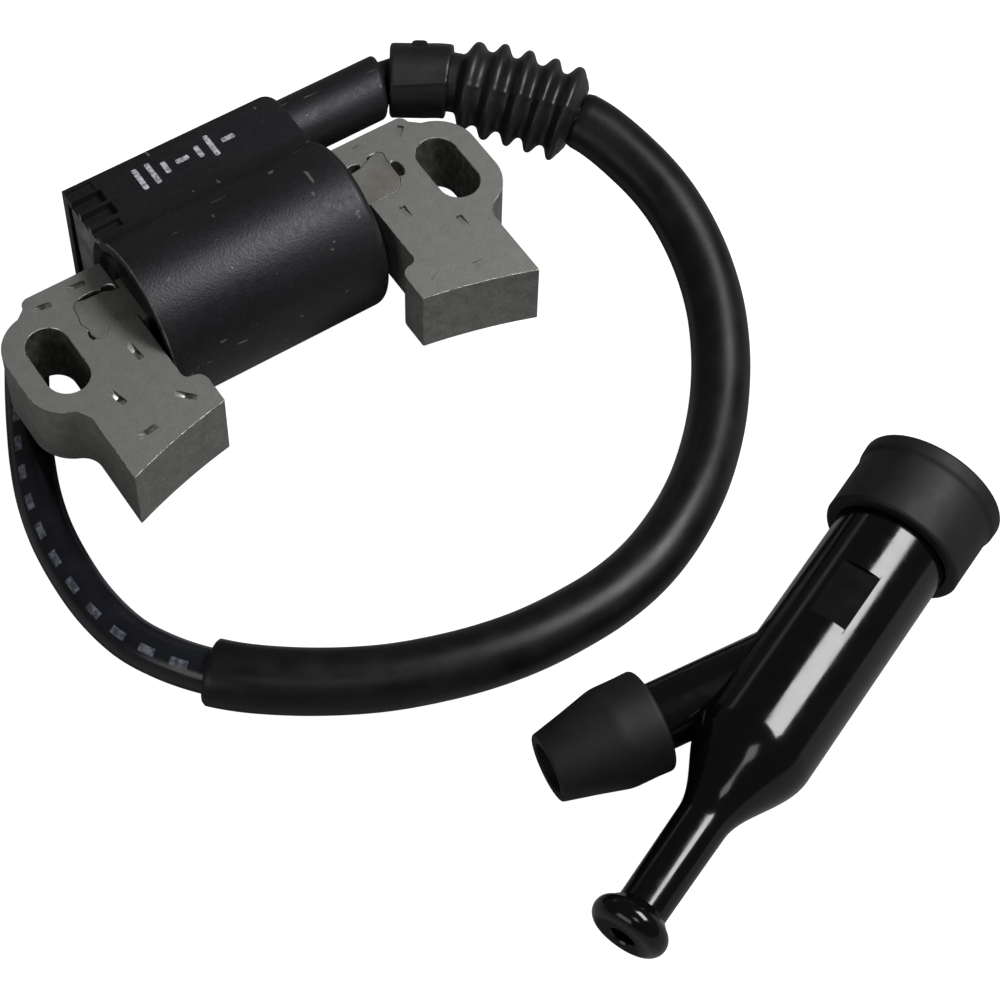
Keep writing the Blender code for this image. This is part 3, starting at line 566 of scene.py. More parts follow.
def phenolic_look(name, roughness, low, high, shine=0.5):
    look = Look(name, roughness=roughness)
    look.shader.inputs["Specular IOR Level"].default_value = shine
    flow = look.noise(90, 4, look.stretched((1.0, 2.2, 1.0)))
    base = look.blend(look.remap(flow, 0.35, 0.66), low, high)
    dust = look.remap(look.noise(1200, 2), 0.76, 0.82, 0.0, 0.3)
    look.colour(look.blend(dust, base, (0.05, 0.05, 0.048)))
    look.roughness(look.remap(look.noise(350, 4), 0.3, 0.7, roughness - 0.02, roughness + 0.05))
    return look.bump(look.noise(600, 3), 0.01, 0.3).material


def metal_look(name, low, high, roughness):
    look = Look(name, roughness=roughness, metallic=1.0)
    grain = look.noise(900, 4, look.stretched((1, 1, 1)))
    look.colour(look.blend(look.remap(grain, 0.32, 0.68), low, high))
    look.roughness(look.remap(grain, 0.3, 0.7, roughness, roughness + 0.15))
    return look.bump(grain, 0.02, 0.5).material


def wire_look(name, low, high, pitch):
    """Close turns of enamelled wire round the X axis."""
    look = Look(name, roughness=0.3, metallic=0.85)
    wave = look.node("TexWave", Vector=look.place, Scale=0.314 / (pitch * MM), Distortion=0.6)
    wave.bands_direction = "X"
    turns = wave.outputs["Fac"]
    look.colour(look.blend(look.remap(turns, 0.1, 0.8), low, high))
    look.roughness(look.remap(look.noise(500, 3), 0.3, 0.7, 0.25, 0.42))
    return look.bump(turns, 0.1 * pitch, 0.9).material


def plain_look(name, low, high, roughness):
    look = Look(name, roughness=roughness)
    grain = look.noise(600, 4)
    look.colour(look.blend(look.remap(grain, 0.35, 0.65), low, high))
    look.roughness(look.remap(grain, 0.3, 0.7, roughness - 0.05, roughness + 0.1))
    return look.bump(grain, 0.03, 0.5).material


# ---------------- core


def leg_outline():
    """Right pole leg seen from above, anticlockwise from the inner pole corner."""
    outline = []
    for i in range(17):
        x = POLE_INNER_X + (LEG_OUTER_X - POLE_INNER_X) * i / 16
        outline.append((x, POLE_ARC_CENTRE_Y + sqrt(POLE_ARC_RADIUS**2 - x**2)))
    fillet_x = LEG_OUTER_X + EAR_FILLET
    drop = sqrt((EAR_RADIUS + EAR_FILLET) ** 2 - (fillet_x - SLOT_X) ** 2)
    fillet_y = -SLOT_HALF_STRAIGHT - drop
    meet = degrees(atan2(drop, SLOT_X - fillet_x))
    outline += arc((fillet_x, fillet_y), EAR_FILLET, 180, meet, 10)
    outline += arc((SLOT_X, -SLOT_HALF_STRAIGHT), EAR_RADIUS, meet - 180 + 3, 0, 20)
    outline += arc((SLOT_X, SLOT_HALF_STRAIGHT), EAR_RADIUS, 0, 78, 20)
    knob = 1.7
    outline += arc((LEG_OUTER_X - 1.2 - knob, LEG_BACK_Y - knob), knob, 0, 90, 8)
    outline += [(LEG_INNER_X, LEG_BACK_Y)]
    inner, outer = 1.3, 2.25
    outline += arc((LEG_INNER_X - inner, LEG_STEP_Y + inner), inner, 0, -90, 6)
    outline += arc((POLE_INNER_X + outer, LEG_STEP_Y - outer), outer, 90, 180, 8)[1:]
    return outline


def slot_outline(side, grow):
    radius = SLOT_RADIUS + grow
    top = arc((side * SLOT_X, SLOT_HALF_STRAIGHT), radius, 0, 180, 24)
    return top + arc((side * SLOT_X, -SLOT_HALF_STRAIGHT), radius, 180, 360, 24)


# Outlines of the bar's two locking tabs, pressed into the legs, as points measured through the camera
TABS = {
    -1: [
        (-21.5, 1.2), (-25.6, 1.3), (-27.2, 2.4), (-28.9, 1.9), (-30.2, 0.3), (-31.1, -0.1),
        (-32.0, 0.4), (-32.5, 1.7), (-32.3, 3.0), (-32.9, 4.6), (-32.4, 6.6), (-32.3, 8.3),
        (-31.4, 9.4), (-29.7, 9.0), (-26.2, 8.9), (-24.6, 8.2), (-21.5, 8.0),
    ],
    1: [
        (21.5, 8.1), (24.6, 8.1), (26.8, 8.3), (28.2, 9.0), (29.7, 9.7), (31.1, 9.9), (31.9, 9.1),
        (31.6, 7.5), (31.5, 2.7), (30.6, 1.0), (29.2, 0.2), (26.0, 0.1), (21.5, 0.2),
    ],
}
HOLLOWS = {  # open pockets beside the tabs: centre and half size
    -1: [((-25.3, 8.9), (1.3, 1.0)), ((-28.6, 9.2), (2.4, 0.7)), ((-32.5, 1.6), (0.4, 1.1))],
    1: [((25.3, 8.8), (1.4, 0.9)), ((32.2, 4.7), (1.0, 1.9)), ((29.9, 9.6), (1.3, 0.35))],
}


def tab_outline(side, grow=0.0):
    """The outline of a tab, moved outwards by grow."""
    corners = [Vector(p) for p in TABS[side]]
    centre = sum(corners, Vector((0, 0))) / len(corners)
    moved = []
    for i, here in enumerate(corners):
        edge = corners[(i + 1) % len(corners)] - corners[i - 1]
        out = Vector((edge.y, -edge.x)).normalized()
        moved.append(here + grow * (out if out.dot(here - centre) > 0 else -out))
    return [tuple(p) for p in moved]


def clinch(side, start, end):
    """A clinch dent in the core's top between two points: a V on the left leg, a ramp on the right, with a
    painted highlight and painted shade on its slopes and walls.
    """
    a, b = Vector((*start, 0)), Vector((*end, 0))
    half, width = (b - a).length / 2, 1.2
    if side < 0:
        profile = [(-half - 0.2, 0.3), (-0.15 * half, -0.8), (half + 0.2, 0.3)]
        painted_slope_shading = {0: 1, 1: 3}
    else:
        profile = [(-half - 0.05, 0.3), (-half + 0.25, -0.5), (half + 1.0, 0.3)]
        painted_slope_shading = {0: 2, 1: 0}
    rings = [[(x, y, z) for x, z in profile] for y in (-width / 2, width / 2)]
    bm = loft(rings)
    # painted light: on the left the first slope gets the bright edge steel as a painted highlight and the end
    # walls the dark slot-wall steel as painted shade; on the right the steep short slope gets the dark
    # slot-wall steel as painted shade
    for face in bm.faces:
        middle = face.calc_center_median()
        if abs(face.normal.y) > 0.5:
            face.material_index = 2 if side < 0 else 0
        elif middle.z < 0.2:
            face.material_index = painted_slope_shading[0 if middle.x < profile[1][0] else 1]
    turn = Matrix.Rotation(atan2(b.y - a.y, b.x - a.x), 4, "Z")
    bm.transform(Matrix.Translation((a + b) / 2 + Vector((0, 0, CORE_THICK))) @ turn)
    return bm


CLINCHES = {  # start and end of each dent
    -1: [
        ((-35.8, -10.2), (-34.5, -14.8)), ((-36.7, -21.8), (-31.8, -21.0)),
        ((-26.9, -16.5), (-23.3, -20.3)), ((-28.1, -2.8), (-27.6, -8.2)),
        ((-31.6, 12.7), (-27.3, 12.2)), ((-38.9, 11.9), (-34.6, 11.2)),
    ],
    1: [
        ((27.7, 12.6), (31.9, 12.4)), ((38.2, 12.9), (35.4, 10.2)),
        ((28.1, -3.2), (27.9, -7.3)), ((35.5, -10.4), (35.5, -14.3)),
        ((23.3, -19.7), (27.2, -17.5)), ((31.7, -21.4), (37.0, -21.7)),
    ],
}


def flared(outline_of):
    """A cutter through the core whose rims are chamfered; outline_of(grow) gives the outline."""
    wear = EDGE_WEAR
    levels = [(-1, 1 + wear), (wear, 0.0), (CORE_THICK - wear, 0.0), (CORE_THICK + 1, 1 + wear)]
    rings = [[(x, y, z) for x, y in outline_of(grow)] for z, grow in levels]
    return loft(rings, slots=[1, 2, 1])


def hollow(centre, size):
    """A cutter for an oval pocket in the core's top, with a chamfered rim."""
    (x, y), (wide, deep) = centre, size
    rings = []
    for z, grow in ((CORE_THICK - 3, 0), (CORE_THICK - 0.15, 0), (CORE_THICK + 0.85, 1)):
        spots = [(wide * a, deep * b) for a, b in arc((0, 0), 1.0, 0, 345, 23)]
        rings.append([(x + a + grow * a / wide, y + b + grow * b / deep, z) for a, b in spots])
    return loft(rings, slots=[2, 1])


def pole_leg(name, side, looks):
    outline = [(side * x, y) for x, y in leg_outline()]
    leg = prism(outline, 0, CORE_THICK)
    tall = [e for e in leg.edges if abs(e.verts[0].co.z - e.verts[1].co.z) > 1]
    upright = [e for e in tall if e.calc_face_angle() > 0.6]
    bmesh.ops.bevel(leg, geom=upright, offset=0.25, segments=2, profile=0.5, affect="EDGES", material=-1)
    for z in (0, CORE_THICK):
        round_edges(leg, lambda co, z=z: abs(co.z - z) < 0.01, EDGE_WEAR, 2, 1)
    cuts = [flared(lambda grow: slot_outline(side, grow)), prism(tab_outline(side, 0.1), -1, 15)]
    cuts += [hollow(centre, size) for centre, size in HOLLOWS[side]]
    cuts += [clinch(side, start, end) for start, end in CLINCHES[side]]
    leg = combined(leg, [("DIFFERENCE", cut) for cut in cuts])
    add_piece(name + "_stack", leg, looks, nodes=[name], even=True)


def centre_bar(looks):
    half = LEG_INNER_X - GAP
    low, high = BAR_Y - BAR_HALF_WIDTH, BAR_Y + BAR_HALF_WIDTH
    bar = block((-half, low, 0), (half, high, CORE_THICK))
    tabs = [prism(tab_outline(side), 0, CORE_THICK) for side in (-1, 1)]
    bar = combined(bar, [("UNION", tab) for tab in tabs])
    bmesh.ops.dissolve_limit(bar, angle_limit=0.01, verts=bar.verts, edges=bar.edges)
    for z in (0, CORE_THICK):
        round_edges(bar, lambda co, z=z: abs(co.z - z) < 0.01, 0.15, 2, 1)
    add_piece("centre_bar_stack", bar, looks, nodes=["centre_core_bar"], even=True)


# ---------------- case


def barrel_outline(inset=0.0, count=120):
    a, b = BARREL_HALF[0] - inset, BARREL_HALF[1] - inset
    return [(BARREL_Y + a * cos(t), BARREL_Z + b * sin(t)) for t in around(count)]


def box_prism(inset=0.0, open_left=0.0):
    """The box behind the barrel, its back wall leaning in towards the bottom."""
    x0, x1 = BOX_X[0] - open_left, BOX_X[1] - inset
    y0, y1 = BOX_Y[0], BOX_Y[1] - inset
    z0, z1 = BOX_Z[0] + inset, BOX_Z[1] - inset
    corner = max(BOX_CORNER - inset, 0.5)
    outline = [(x0, y0), (x1, y0), *arc((x1 - corner, y1 - corner), corner, 0, 90, 10), (x0, y1)]
    bm = prism(outline, z0, z1)
    for vert in bm.verts:
        if vert.co.z == z0 and vert.co.y > y0:
            vert.co.y -= BOX_DRAFT
    return bm


def notch(y, width, depth, length):
    """A slot in the top of the open end whose floor rises to the right."""
    x0, x1, z = BOX_X[0], BOX_X[0] + length, BOX_Z[1]
    profile = [(x0 - 1, z - depth), (x1 - 0.6, z - depth * 0.7), (x1, z + 0.2), (x0 - 1, z + 0.2)]
    return loft([[(a, level, b) for a, b in profile] for level in (y - width / 2, y + width / 2)])


def tower_spigot():
    """The neck that carries the boot: it starts in the tower's slanted end and turns to the lead."""
    root = Matrix.Translation((0, TOWER_Y, TOWER_Z))
    bend = Matrix.Translation((TOWER_BEND_X, TOWER_Y, TOWER_Z))
    bent = bend @ Matrix.Rotation(radians(TOWER_TURN), 4, "Z")
    rings = []
    for place, x, radius, slant in (
        (root, TOWER_END - 3.0, 4.6, TOWER_SLANT),
        (root, TOWER_END - 0.1, 4.6, TOWER_SLANT),
        (root, TOWER_END + 0.4, 4.2, TOWER_SLANT),
        (bent, -COLLAR_BACK, TOWER_NECK_RADIUS, 0.0),
        (bent, NECK_LENGTH, TOWER_NECK_RADIUS, 0.0),
    ):
        spots = [(radius * cos(a), radius * sin(a)) for a in around(60)]
        rings.append([place @ Vector((x + slant * y, y, z)) for y, z in spots])
    return loft(rings)


def coil_case(looks):
    rim, end = 0.25, 1.9
    left, right = BARREL_X
    stations = [(left, rim), (left + rim, 0)]
    for i in range(9):
        turn = pi / 2 * i / 8
        stations.append((right - end + end * sin(turn), end * (1 - cos(turn))))
    case = x_prism(barrel_outline, stations)
    box = box_prism()
    round_edges(box, lambda co: co.z > BOX_Z[1] - 0.01 and co.y > BOX_Y[0] + 0.01, 0.7, 4)
    along = Matrix.Translation((0, TOWER_Y, TOWER_Z))
    wall_x = BOX_X[1] - WALL / 2
    profile = [(wall_x, 0), (wall_x, TOWER_RADIUS + 0.5), (BOX_X[1], TOWER_RADIUS + 0.5)]
    profile += [(x, r) for x, r in arc((BOX_X[1] + 0.5, TOWER_RADIUS + 0.5), 0.5, 180, 270, 4)[1:]]
    profile += arc((TOWER_END - 1.2, TOWER_RADIUS - 1.2), 1.2, 90, 8, 7) + [(TOWER_END, 0)]
    tower = turned(profile, 72)
    for vert in tower.verts:
        if vert.co.x > TOWER_END - 3:
            vert.co.x += TOWER_SLANT * vert.co.y
    tower.transform(along)
    barrel_room = x_prism(barrel_outline, [(left - 1, WALL), (right - WALL, WALL)])
    bar_hole = block(
        (right - 4, BAR_Y - BAR_HALF_WIDTH - GAP, -GAP),
        (right + 1, BAR_Y + BAR_HALF_WIDTH + GAP, CORE_THICK + GAP),
    )
    bore = turned([(BOX_X[1] - 4, 0), (BOX_X[1] - 4, 4.0), (TOWER_END - 3.4, 4.0), (TOWER_END - 2, 0)], 48)
    bore.transform(along)
    blend = [(12.6, 18.0)]
    for i in range(13):
        t = i / 12
        a, b, c = Vector((12.6, 21.27)), Vector((14.85, BOX_Z[1])), Vector((16.9, BOX_Z[1]))
        blend.append(tuple(a.lerp(b, t).lerp(b.lerp(c, t), t)))
    blend.append((16.9, 18.0))
    crease = loft([[(x, y, z) for y, z in blend] for x in (left + 0.02, right - 1.5)])
    steps = [("UNION", box), ("UNION", crease), ("UNION", tower), ("UNION", tower_spigot())]
    rooms = [barrel_room, box_prism(WALL, 1.0), bar_hole, bore]
    rooms += [notch(16.6, 1.9, 1.2, 5.6), notch(20.0, 2.8, 1.9, 6.2), notch(23.5, 2.8, 1.9, 5.9)]
    rooms += [notch(26.35, 2.0, 0.6, 5.5)]
    case = combined(case, steps + [("DIFFERENCE", room) for room in rooms])
    for face in case.faces:
        middle = face.calc_center_median()
        resin_side = middle.y > 14.5 and middle.z > 12
        at_end = middle.x < left + 0.3 and face.normal.x < -0.3
        worn = face.normal.x > -0.9
        face.material_index = 0 if not at_end else 1 if resin_side else 2 if worn else 0
    add_piece("case_shell", case, looks, nodes=["coil_case"], even=True, sharp=38)


def case_mark(look):
    """Plain dashes where the real case carries a printed marking."""
    bm = bmesh.new()
    top, lift = BOX_Z[1], 0.03
    x, low, high = -10.6, 20.4, 25.6
    tall, short, flat = (1.0, 1.0), (1.0, 0.55), (2.6, 0.2)  # width, and share of the height
    for width, share in (tall, tall, short, flat, short, tall, flat):
        middle = (low + high) / 2
        half = (high - low) / 2 * share
        outline = []
        corner = min(width, 2 * half) * 0.3
        for sx, sy, start in ((1, -1, -90), (1, 1, 0), (-1, 1, 90), (-1, -1, 180)):
            centre = (x + width / 2 + sx * (width / 2 - corner), middle + sy * (half - corner))
            outline += arc(centre, corner, start, start + 90, 4)
        mesh = mesh_of("scratch", prism(outline, top - 0.02, top + lift))
        bm.from_mesh(mesh)
        bpy.data.meshes.remove(mesh)
        x += width + 1.6
    add_piece("case_mark", bm, look)


def wavy(point, scale, amount):
    return amount * noise.noise(Vector(point) * scale)


def box_resin(look):
    """Cast resin in the open end of the box, drawn up a little where it wets the walls."""
    inset = WALL + 0.05
    z0, z1 = BOX_Z[0] + inset, BOX_Z[1] - inset
    rows, count = [], 24
    for i in range(count + 1):
        z = z0 + (z1 - z0) * i / count
        inner = BARREL_Y + 15.9 * sqrt(max(0.0, 1 - ((z - BARREL_Z) / 17.4) ** 2))
        inner = max(16.2, inner)
        outer = BOX_Y[1] - inset - BOX_DRAFT * (BOX_Z[1] - z) / (BOX_Z[1] - BOX_Z[0])
        rows.append([(y, z) for y in [inner + (outer - inner) * k / count for k in range(count + 1)]])
    bm = bmesh.new()
    front, back = [], []
    for i, row in enumerate(rows):
        front.append([])
        back.append([])
        for k, (y, z) in enumerate(row):
            edge = min(i, count - i, k, count - k) / count
            lift = 0.45 * max(0.0, 1 - edge / 0.12) ** 2
            x = -22.0 - lift + wavy((y, z, 3.0), 0.28, 0.5) * min(1, edge * 8)
            front[-1].append(bm.verts.new((x, y, z)))
            back[-1].append(bm.verts.new((-16.0, y, z)))
    for i in range(count):
        for k in range(count):
            bm.faces.new((front[i][k], front[i][k + 1], front[i + 1][k + 1], front[i + 1][k]))
            bm.faces.new((back[i][k], back[i][k + 1], back[i + 1][k + 1], back[i + 1][k]))
    for k in range(count):
        for i in (0, count):
            bm.faces.new((front[i][k], front[i][k + 1], back[i][k + 1], back[i][k]))
        for i in (0, count):
            bm.faces.new((front[k][i], front[k + 1][i], back[k + 1][i], back[k][i]))
    bmesh.ops.recalc_face_normals(bm, faces=bm.faces)
    add_piece("potting_face", bm, look, nodes=["potting_resin"], sharp=50)


def barrel_resin(look):
    """Dark resin between the barrel and the bar at the open end, drawn up where it wets them."""
    count, steps = 96, 10
    bm = bmesh.new()
    half_y, half_z, middle = BAR_HALF_WIDTH + 0.15, CORE_THICK / 2 + 0.15, CORE_THICK / 2
    rings = []
    for j in range(steps + 1):
        share = j / steps
        ring = []
        for k in range(count):
            t = 2 * pi * (k + 0.5) / count
            c, s = cos(t), sin(t)
            reach = 1 / max(abs(c) / half_y, abs(s) / half_z)
            a, b = BARREL_HALF[0] - WALL - 0.05, BARREL_HALF[1] - WALL - 0.05
            outer = Vector((BARREL_Y + a * c, BARREL_Z + b * s))
            inner = Vector((BAR_Y + reach * c, middle + reach * s))
            spot = inner.lerp(outer, share)
            wet = abs(2 * share - 1) ** 4
            x = -21.45 - 0.9 * wet + wavy((spot.x, spot.y, 9.0), 0.35, 0.5) * (1 - wet)
            ring.append(bm.verts.new((x, spot.x, spot.y)))
        rings.append(ring)
    flat = [[bm.verts.new((-21.15, v.co.y, v.co.z)) for v in ring] for ring in (rings[0], rings[-1])]
    loops = [flat[0], *rings, flat[1]]
    for a, b in zip(loops, loops[1:] + loops[:1]):
        for k in range(count):
            m = (k + 1) % count
            bm.faces.new((a[k], a[m], b[m], b[k]))
    bmesh.ops.recalc_face_normals(bm, faces=bm.faces)
    add_piece("barrel_resin", bm, look, sharp=50)


# ---------------- lead


def boot_profile(reach, turn):
    """Outer radius of the boot: rounded collar with a nub, neck, round ribs, and a mould line."""
    collar, neck, root, crest = BOOT_RADII
    last = RIB_FIRST + RIB_PITCH * (RIB_COUNT - 1)
    line = 0.72 + 0.3 * reach / last
    seam = 0.2 * max(0.0, 1 - abs(sin(turn - line)) / 0.09)
    if reach <= BOOT_COLLAR:
        near = max(0.0, 1 - min(reach, BOOT_COLLAR - reach) / 0.7)
        nub = max(0.0, 1 - (abs(reach - 5.6) / 1.6) ** 4) * max(0.0, 1 - (abs(turn - 2.35) / 0.25) ** 4)
        return collar - 0.7 * (1 - sqrt(max(0.0, 1 - near**2))) + seam + 0.55 * nub**0.5
    if reach < RIB_FIRST - RIB_PITCH / 2:
        return neck + seam / 2
    phase = (reach - RIB_FIRST) / RIB_PITCH
    top = crest - 0.8 * (phase < 0.5)
    base = neck + (root - neck) * min(1.0, max(0.0, (phase + 0.5) / 0.6))
    wave = cos(2 * pi * phase)
    bump = 0.5 + 0.5 * wave * (1.25 - 0.25 * wave**2)
    if phase > RIB_COUNT - 0.62:
        base -= 0.9 * (phase - RIB_COUNT + 0.62) / 0.12
    return base + (top - base) * bump + seam


def lead_pieces(rubber, vinyl, insulation):
    path = smooth_route(ROUTE, 1.0)
    whole = length_of(path)
    line = stretch(path, LEAD_START, 1e6)
    tube = swept(line, [lambda s, a: LEAD_RADIUS], 40, closed_ends=True)
    lead = add_piece("lead", tube, insulation, nodes=["ht_lead"], sharp=50)

    sleeve_line = stretch(path, BOOT_LENGTH + GAP, whole - SLEEVE_FROM_END)
    total = length_of(sleeve_line)
    near, far = SLEEVE_RADII

    def outside(s, a):
        swell = max(0.0, 2 * s / total - 1)
        rim = 0.35 * max(0.0, 1 - min(s, total - s) / 0.4) ** 2
        dent = wavy((s * 0.05, cos(a), sin(a)), 1.6, 0.05)
        return near + (far - near) * swell - rim + dent

    tube = swept(sleeve_line, [outside, lambda s, a: SLEEVE_BORE], 56)
    sleeve = add_piece("outer_sleeve", tube, vinyl, nodes=["lead_sleeve"], sharp=50)

    fine = smooth_route([tuple(p) for p in path], 0.2)
    boot_line = stretch(fine, 0.0, BOOT_LENGTH)
    spigot = NECK_LENGTH + COLLAR_BACK + 0.3
    tube = swept(boot_line, [boot_profile, lambda s, a: SPIGOT_BORE if s < spigot else SLEEVE_BORE], 144)
    add_piece("ribbed_boot", tube, rubber, nodes=["ht_boot"], sharp=60)

    visible = stretch(path, LEAD_START, 1e6)


# ---------------- plug cap


def cap_matrix():
    """Local X runs along the cap's main axis from the plug seal, local Z stays upwards."""
    turn = Matrix.Rotation(radians(CAP_HEADING), 4, "Z")
    tilt = Matrix.Rotation(radians(-CAP_TILT), 4, "Y")
    return Matrix.Translation(CAP_START) @ turn @ tilt


def branch_matrix():
    turn = Matrix.Rotation(radians(-BRANCH_ANGLE), 4, "Z")
    return cap_matrix() @ Matrix.Translation((BRANCH_START, 0, 0)) @ turn


def placed(bm, matrix):
    bm.transform(matrix)
    return bm


def eased(start, end, low, high, count):
    """(x, radius) points of an S-shaped taper."""
    points = []
    for i in range(count + 1):
        t = i / count
        points.append((start + (end - start) * t, low + (high - low) * (3 * t**2 - 2 * t**3)))
    return points


def cap_shell(looks):
    start, end = CAP_TUBE
    flare, tip = CAP_FLARE
    rim = (tip - flare - 1.0) / 2
    profile = [(start, 0), (start, CAP_TUBE_RADIUS - 0.3), (start + 0.3, CAP_TUBE_RADIUS)]
    profile += [(x, CAP_TUBE_RADIUS) for x in (8.0, 24.0)]
    profile += eased(end, CAP_CONE_END, CAP_TUBE_RADIUS, CAP_NECK_RADIUS, 24)
    profile += [(68.0, CAP_NECK_RADIUS - 0.1), (flare, CAP_NECK_RADIUS - 0.2)]
    for x, y in arc((0, 0), 1.0, 150, 0, 16):
        profile.append((tip - rim + x * rim, CAP_FLARE_RADIUS - rim * (1 - y)))
    profile += [(tip, 0)]
    body = turned(profile, 160)
    here, branch_place = cap_matrix(), branch_matrix()
    body.transform(here)
    stub = [(4, 0), (4, BRANCH_RADIUS), (BRANCH_END - 0.3, BRANCH_RADIUS)]
    stub += [(BRANCH_END, BRANCH_RADIUS - 0.3), (BRANCH_END, 0)]
    branch = placed(turned(stub, 96), branch_place)
    room = [(start - 1, 0), (start - 1, CAP_BORE), (CAP_BORE_END - 3, CAP_BORE), (CAP_BORE_END, 0)]
    bore = [(6, 0), (6, BRANCH_BORE), (BRANCH_END + 1, BRANCH_BORE), (BRANCH_END + 1, 0)]
    radius, depth = CAP_END_HOLE
    hole = [(tip - depth, 0), (tip - depth, radius), (tip - 0.3, radius)]
    hole += [(tip + 0.7, radius + 1.0), (tip + 0.7, 0)]
    low, high, width = CAP_FLAT
    height = sqrt(CAP_TUBE_RADIUS**2 - (width / 2) ** 2)
    flat = block((low, -width / 2 - 1, height), (high, width / 2 + 1, CAP_TUBE_RADIUS + 1))
    for face in flat.faces:
        face.material_index = 1
    steps = [
        ("UNION", branch),
        ("DIFFERENCE", placed(turned(room, 64), here)),
        ("DIFFERENCE", placed(turned(bore, 48), branch_place)),
        ("DIFFERENCE", placed(turned(hole, 48), here)),
        ("DIFFERENCE", placed(flat, here)),
    ]
    body = combined(body, steps)
    add_piece("cap_shell", body, looks, "cap", ["cap_body"], even=True, sharp=40)


def rounded(points, radii, count=6):
    """A profile with its corners rounded; a radius of 0 keeps the corner."""
    made = []
    for i, (point, radius) in enumerate(zip(points, radii)):
        here = Vector(point)
        if radius == 0:
            made.append(point)
            continue
        before = (Vector(points[i - 1]) - here).normalized()
        after = (Vector(points[(i + 1) % len(points)]) - here).normalized()
        for k in range(count + 1):
            t = k / count
            a, b = here + before * radius * (1 - t), here + after * radius * t
            made.append(tuple(a.lerp(b, t)))
    return made


def plug_seal(look):
    low, high = PLUG_SEAL
    wide, fit = PLUG_SEAL_RADIUS, CAP_TUBE_RADIUS + 0.15
    step, seat = low + 2.7, CAP_TUBE[0] - 0.15
    points = [(low, 11.0), (low, wide), (step, wide - 0.1), (step + 0.7, wide - 0.5)]
    points += [(high - 1.2, wide - 0.55), (high, wide - 0.5), (high, fit), (seat, fit)]
    points += [(seat, PLUG_SEAL_BORE), (low - 1.2, PLUG_SEAL_BORE), (low - 1.2, 10.8)]
    radii = [0.25, 0.8, 0.5, 0.5, 0.6, 0.9, 0.25, 0, 0, 0.3, 0.3]
    bm = turned(rounded(points, radii), 120)
    add_piece("plug_seal_rubber", bm, look, "plug_seal", ["plug_seal"], cap_matrix(), 50)


def cable_seal(look):
    low, shoulder, tip = CABLE_SEAL
    wide, narrow = CABLE_SEAL_RADII
    fit = BRANCH_RADIUS + 0.15
    points = [(low, fit), (low, wide), (low + 3.0, wide - 0.12), (shoulder, wide - 0.1)]
    points += [((shoulder + tip) / 2, (wide + narrow) / 2 - 0.12), (tip, narrow), (tip, BRANCH_BORE)]
    points += [(BRANCH_END + 0.15, BRANCH_BORE), (BRANCH_END + 0.15, fit)]
    radii = [0.25, 1.0, 0, 1.2, 0, 0.35, 0.3, 0, 0]
    bm = turned(rounded(points, radii), 96)
    add_piece("cable_seal_rubber", bm, look, "cable_seal", ["cable_seal"], branch_matrix(), 50)


# ---------------- finish of the CAD parts inside


def dress(node, look):
    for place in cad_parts[node].material_slots:
        place.material = look


def inner_finishes():
    nylon = plain_look("bobbin_nylon", (0.018, 0.018, 0.019), (0.03, 0.03, 0.03), 0.5)
    copper = wire_look("copper_wire", (0.3, 0.09, 0.035), (0.72, 0.3, 0.14), 0.7)
    enamel = wire_look("fine_enamelled_wire", (0.24, 0.07, 0.03), (0.5, 0.19, 0.08), 0.2)
    chip = plain_look("chip_epoxy", (0.012, 0.012, 0.012), (0.025, 0.025, 0.024), 0.42)
    brass = metal_look("brass", (0.42, 0.28, 0.09), (0.66, 0.48, 0.2), 0.28)
    tin = metal_look("tinned_brass", (0.42, 0.42, 0.41), (0.66, 0.66, 0.64), 0.3)
    looks = {
        "primary_bobbin": nylon,
        "secondary_bobbin": nylon,
        "primary_winding": copper,
        "circuit_board": plain_look("circuit_board", (0.02, 0.09, 0.035), (0.035, 0.14, 0.055), 0.45),
        "power_transistor": chip,
        "control_chip": chip,
        "charge_resistor": chip,
        "filter_capacitor": plain_look("capacitor_resin", (0.3, 0.15, 0.03), (0.45, 0.26, 0.07), 0.35),
        "stop_terminal": tin,
        "ht_terminal": brass,
        "cable_screw": brass,
        "plug_clip": brass,
        "cap_resistor": plain_look("ceramic", (0.62, 0.59, 0.52), (0.78, 0.76, 0.7), 0.55),
    }
    for i in range(5):
        looks[f"secondary_winding_{i + 1}"] = enamel
    for node, look in looks.items():
        dress(node, look)


# ---------------- studio


def area_light(name, centre, size, strength, aim=None):
    """A softbox that faces a point, or straight down. strength is its brightness as seen."""
    data = bpy.data.lights.new(name, "AREA")
    data.shape, data.size, data.size_y = "RECTANGLE", size[0] * MM, size[1] * MM
    data.energy = strength * pi * data.size * data.size_y
    lamp = linked(name, data)
    lamp.location = TO_ROW @ Vector(centre)
    if aim:
        back = lamp.location - TO_ROW @ Vector(aim)
        lamp.rotation_mode = "QUATERNION"
        lamp.rotation_quaternion = back.to_track_quat("Z", "Y")


def floor(name, level, size, albedo, glow):
    mesh = bpy.data.meshes.new(name)
    half = size / 2
    corners = [(-half, -half, 0), (half, -half, 0), (half, half, 0), (-half, half, 0)]
    mesh.from_pydata(corners, [], [(0, 1, 2, 3)])
    look = Look(name, colour=(albedo,) * 3, roughness=0.9)
    look.shader.inputs["Specular IOR Level"].default_value = 0.0
    look.shader.inputs["Emission Color"].default_value = (1.0, 1.0, 1.0, 1.0)
    look.shader.inputs["Emission Strength"].default_value = glow
    mesh.materials.append(look.material)
    obj = linked(name, mesh)
    obj.location.z = level
    return obj


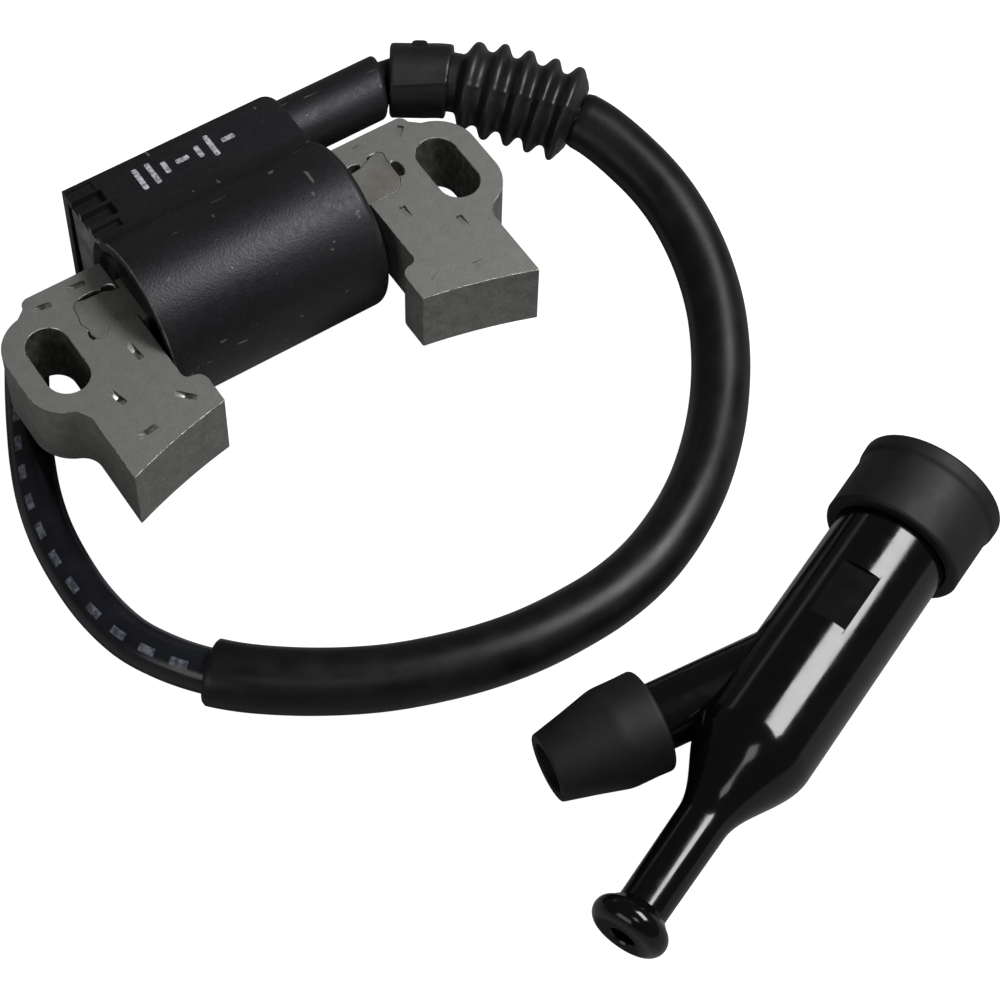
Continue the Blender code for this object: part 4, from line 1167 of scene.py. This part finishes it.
def studio():
    scene = bpy.context.scene
    scene.view_settings.view_transform = "Standard"
    world = bpy.data.worlds.new("studio")
    world.use_nodes = True
    shade = world.node_tree.nodes["Background"]
    shade.inputs["Color"].default_value = (1.0, 1.0, 1.0, 1.0)
    shade.inputs["Strength"].default_value = 0.08
    scene.world = world
    area_light("key_softbox", (402, -255, 615), (315, 410), 14.0)
    area_light("back_strip", (60, 900, 420), (260, 130), 0.5, (10, -60, 0))
    area_light("camera_softbox", (-240, -400, 600), (170, 170), 3.0, (0, -60, 0))
    area_light("left_panel", (-650, -200, 260), (420, 300), 1.6, (0, 0, 10))
    seen = floor("floor", -0.0002, 4.0, 0.3, 1.0)
    seen.visible_glossy = seen.visible_diffuse = seen.visible_shadow = False
    bounce = floor("bounce_floor", -0.0004, 4.0, 0.32, 0.0)
    bounce.visible_camera = False


# ---------------- build


PLACEHOLDERS = [bpy.data.materials.new(f"placeholder_{i}") for i in range(4)]


def build():
    make_camera()
    rubber = rubber_look("boot_rubber", 0.42, tone=0.0095)
    dull = rubber_look("seal_rubber", 0.6, 0.6, tone=0.0048, shine=0.42)
    lead_pieces(rubber, rubber_look("sleeve_vinyl", 0.38, 0.3, tone=0.0045, shine=0.32), lead_look())
    steel = steel_look("lamination_steel", (0.4, 0.4, 0.383), (0.33, 0.33, 0.316), 0.56)
    legs = [steel, bright_steel_look(), slot_wall_look(), dent_look()]
    pole_leg("left_pole_core", -1, legs)
    pole_leg("right_pole_core", 1, legs)
    stained = steel_look("bar_steel", (0.42, 0.415, 0.39), (0.34, 0.335, 0.31), 0.52, 0.4)
    centre_bar([stained, stained])
    pale = resin_look("potting_resin", (0.17, 0.17, 0.165), (0.27, 0.27, 0.26), 0.35)
    edge = plain_look("worn_plastic_edge", (0.05, 0.05, 0.05), (0.2, 0.2, 0.19), 0.5)
    coil_case([case_look(), pale, edge])
    case_mark(paint_look())
    box_resin(pale)
    barrel_resin(plain_look("dark_resin", (0.003, 0.003, 0.003), (0.008, 0.007, 0.006), 0.45))
    gloss = phenolic_look("cap_phenolic", 0.12, (0.0013, 0.0013, 0.0015), (0.0026, 0.0024, 0.0024))
    matte = phenolic_look("cap_label_flat", 0.2, (0.004, 0.004, 0.004), (0.006, 0.006, 0.006), 0.25)
    cap_shell([gloss, matte, gloss])
    plug_seal(dull)
    cable_seal(dull)
    inner_finishes()
    studio()
    for spare in PLACEHOLDERS:
        bpy.data.materials.remove(spare)


build()
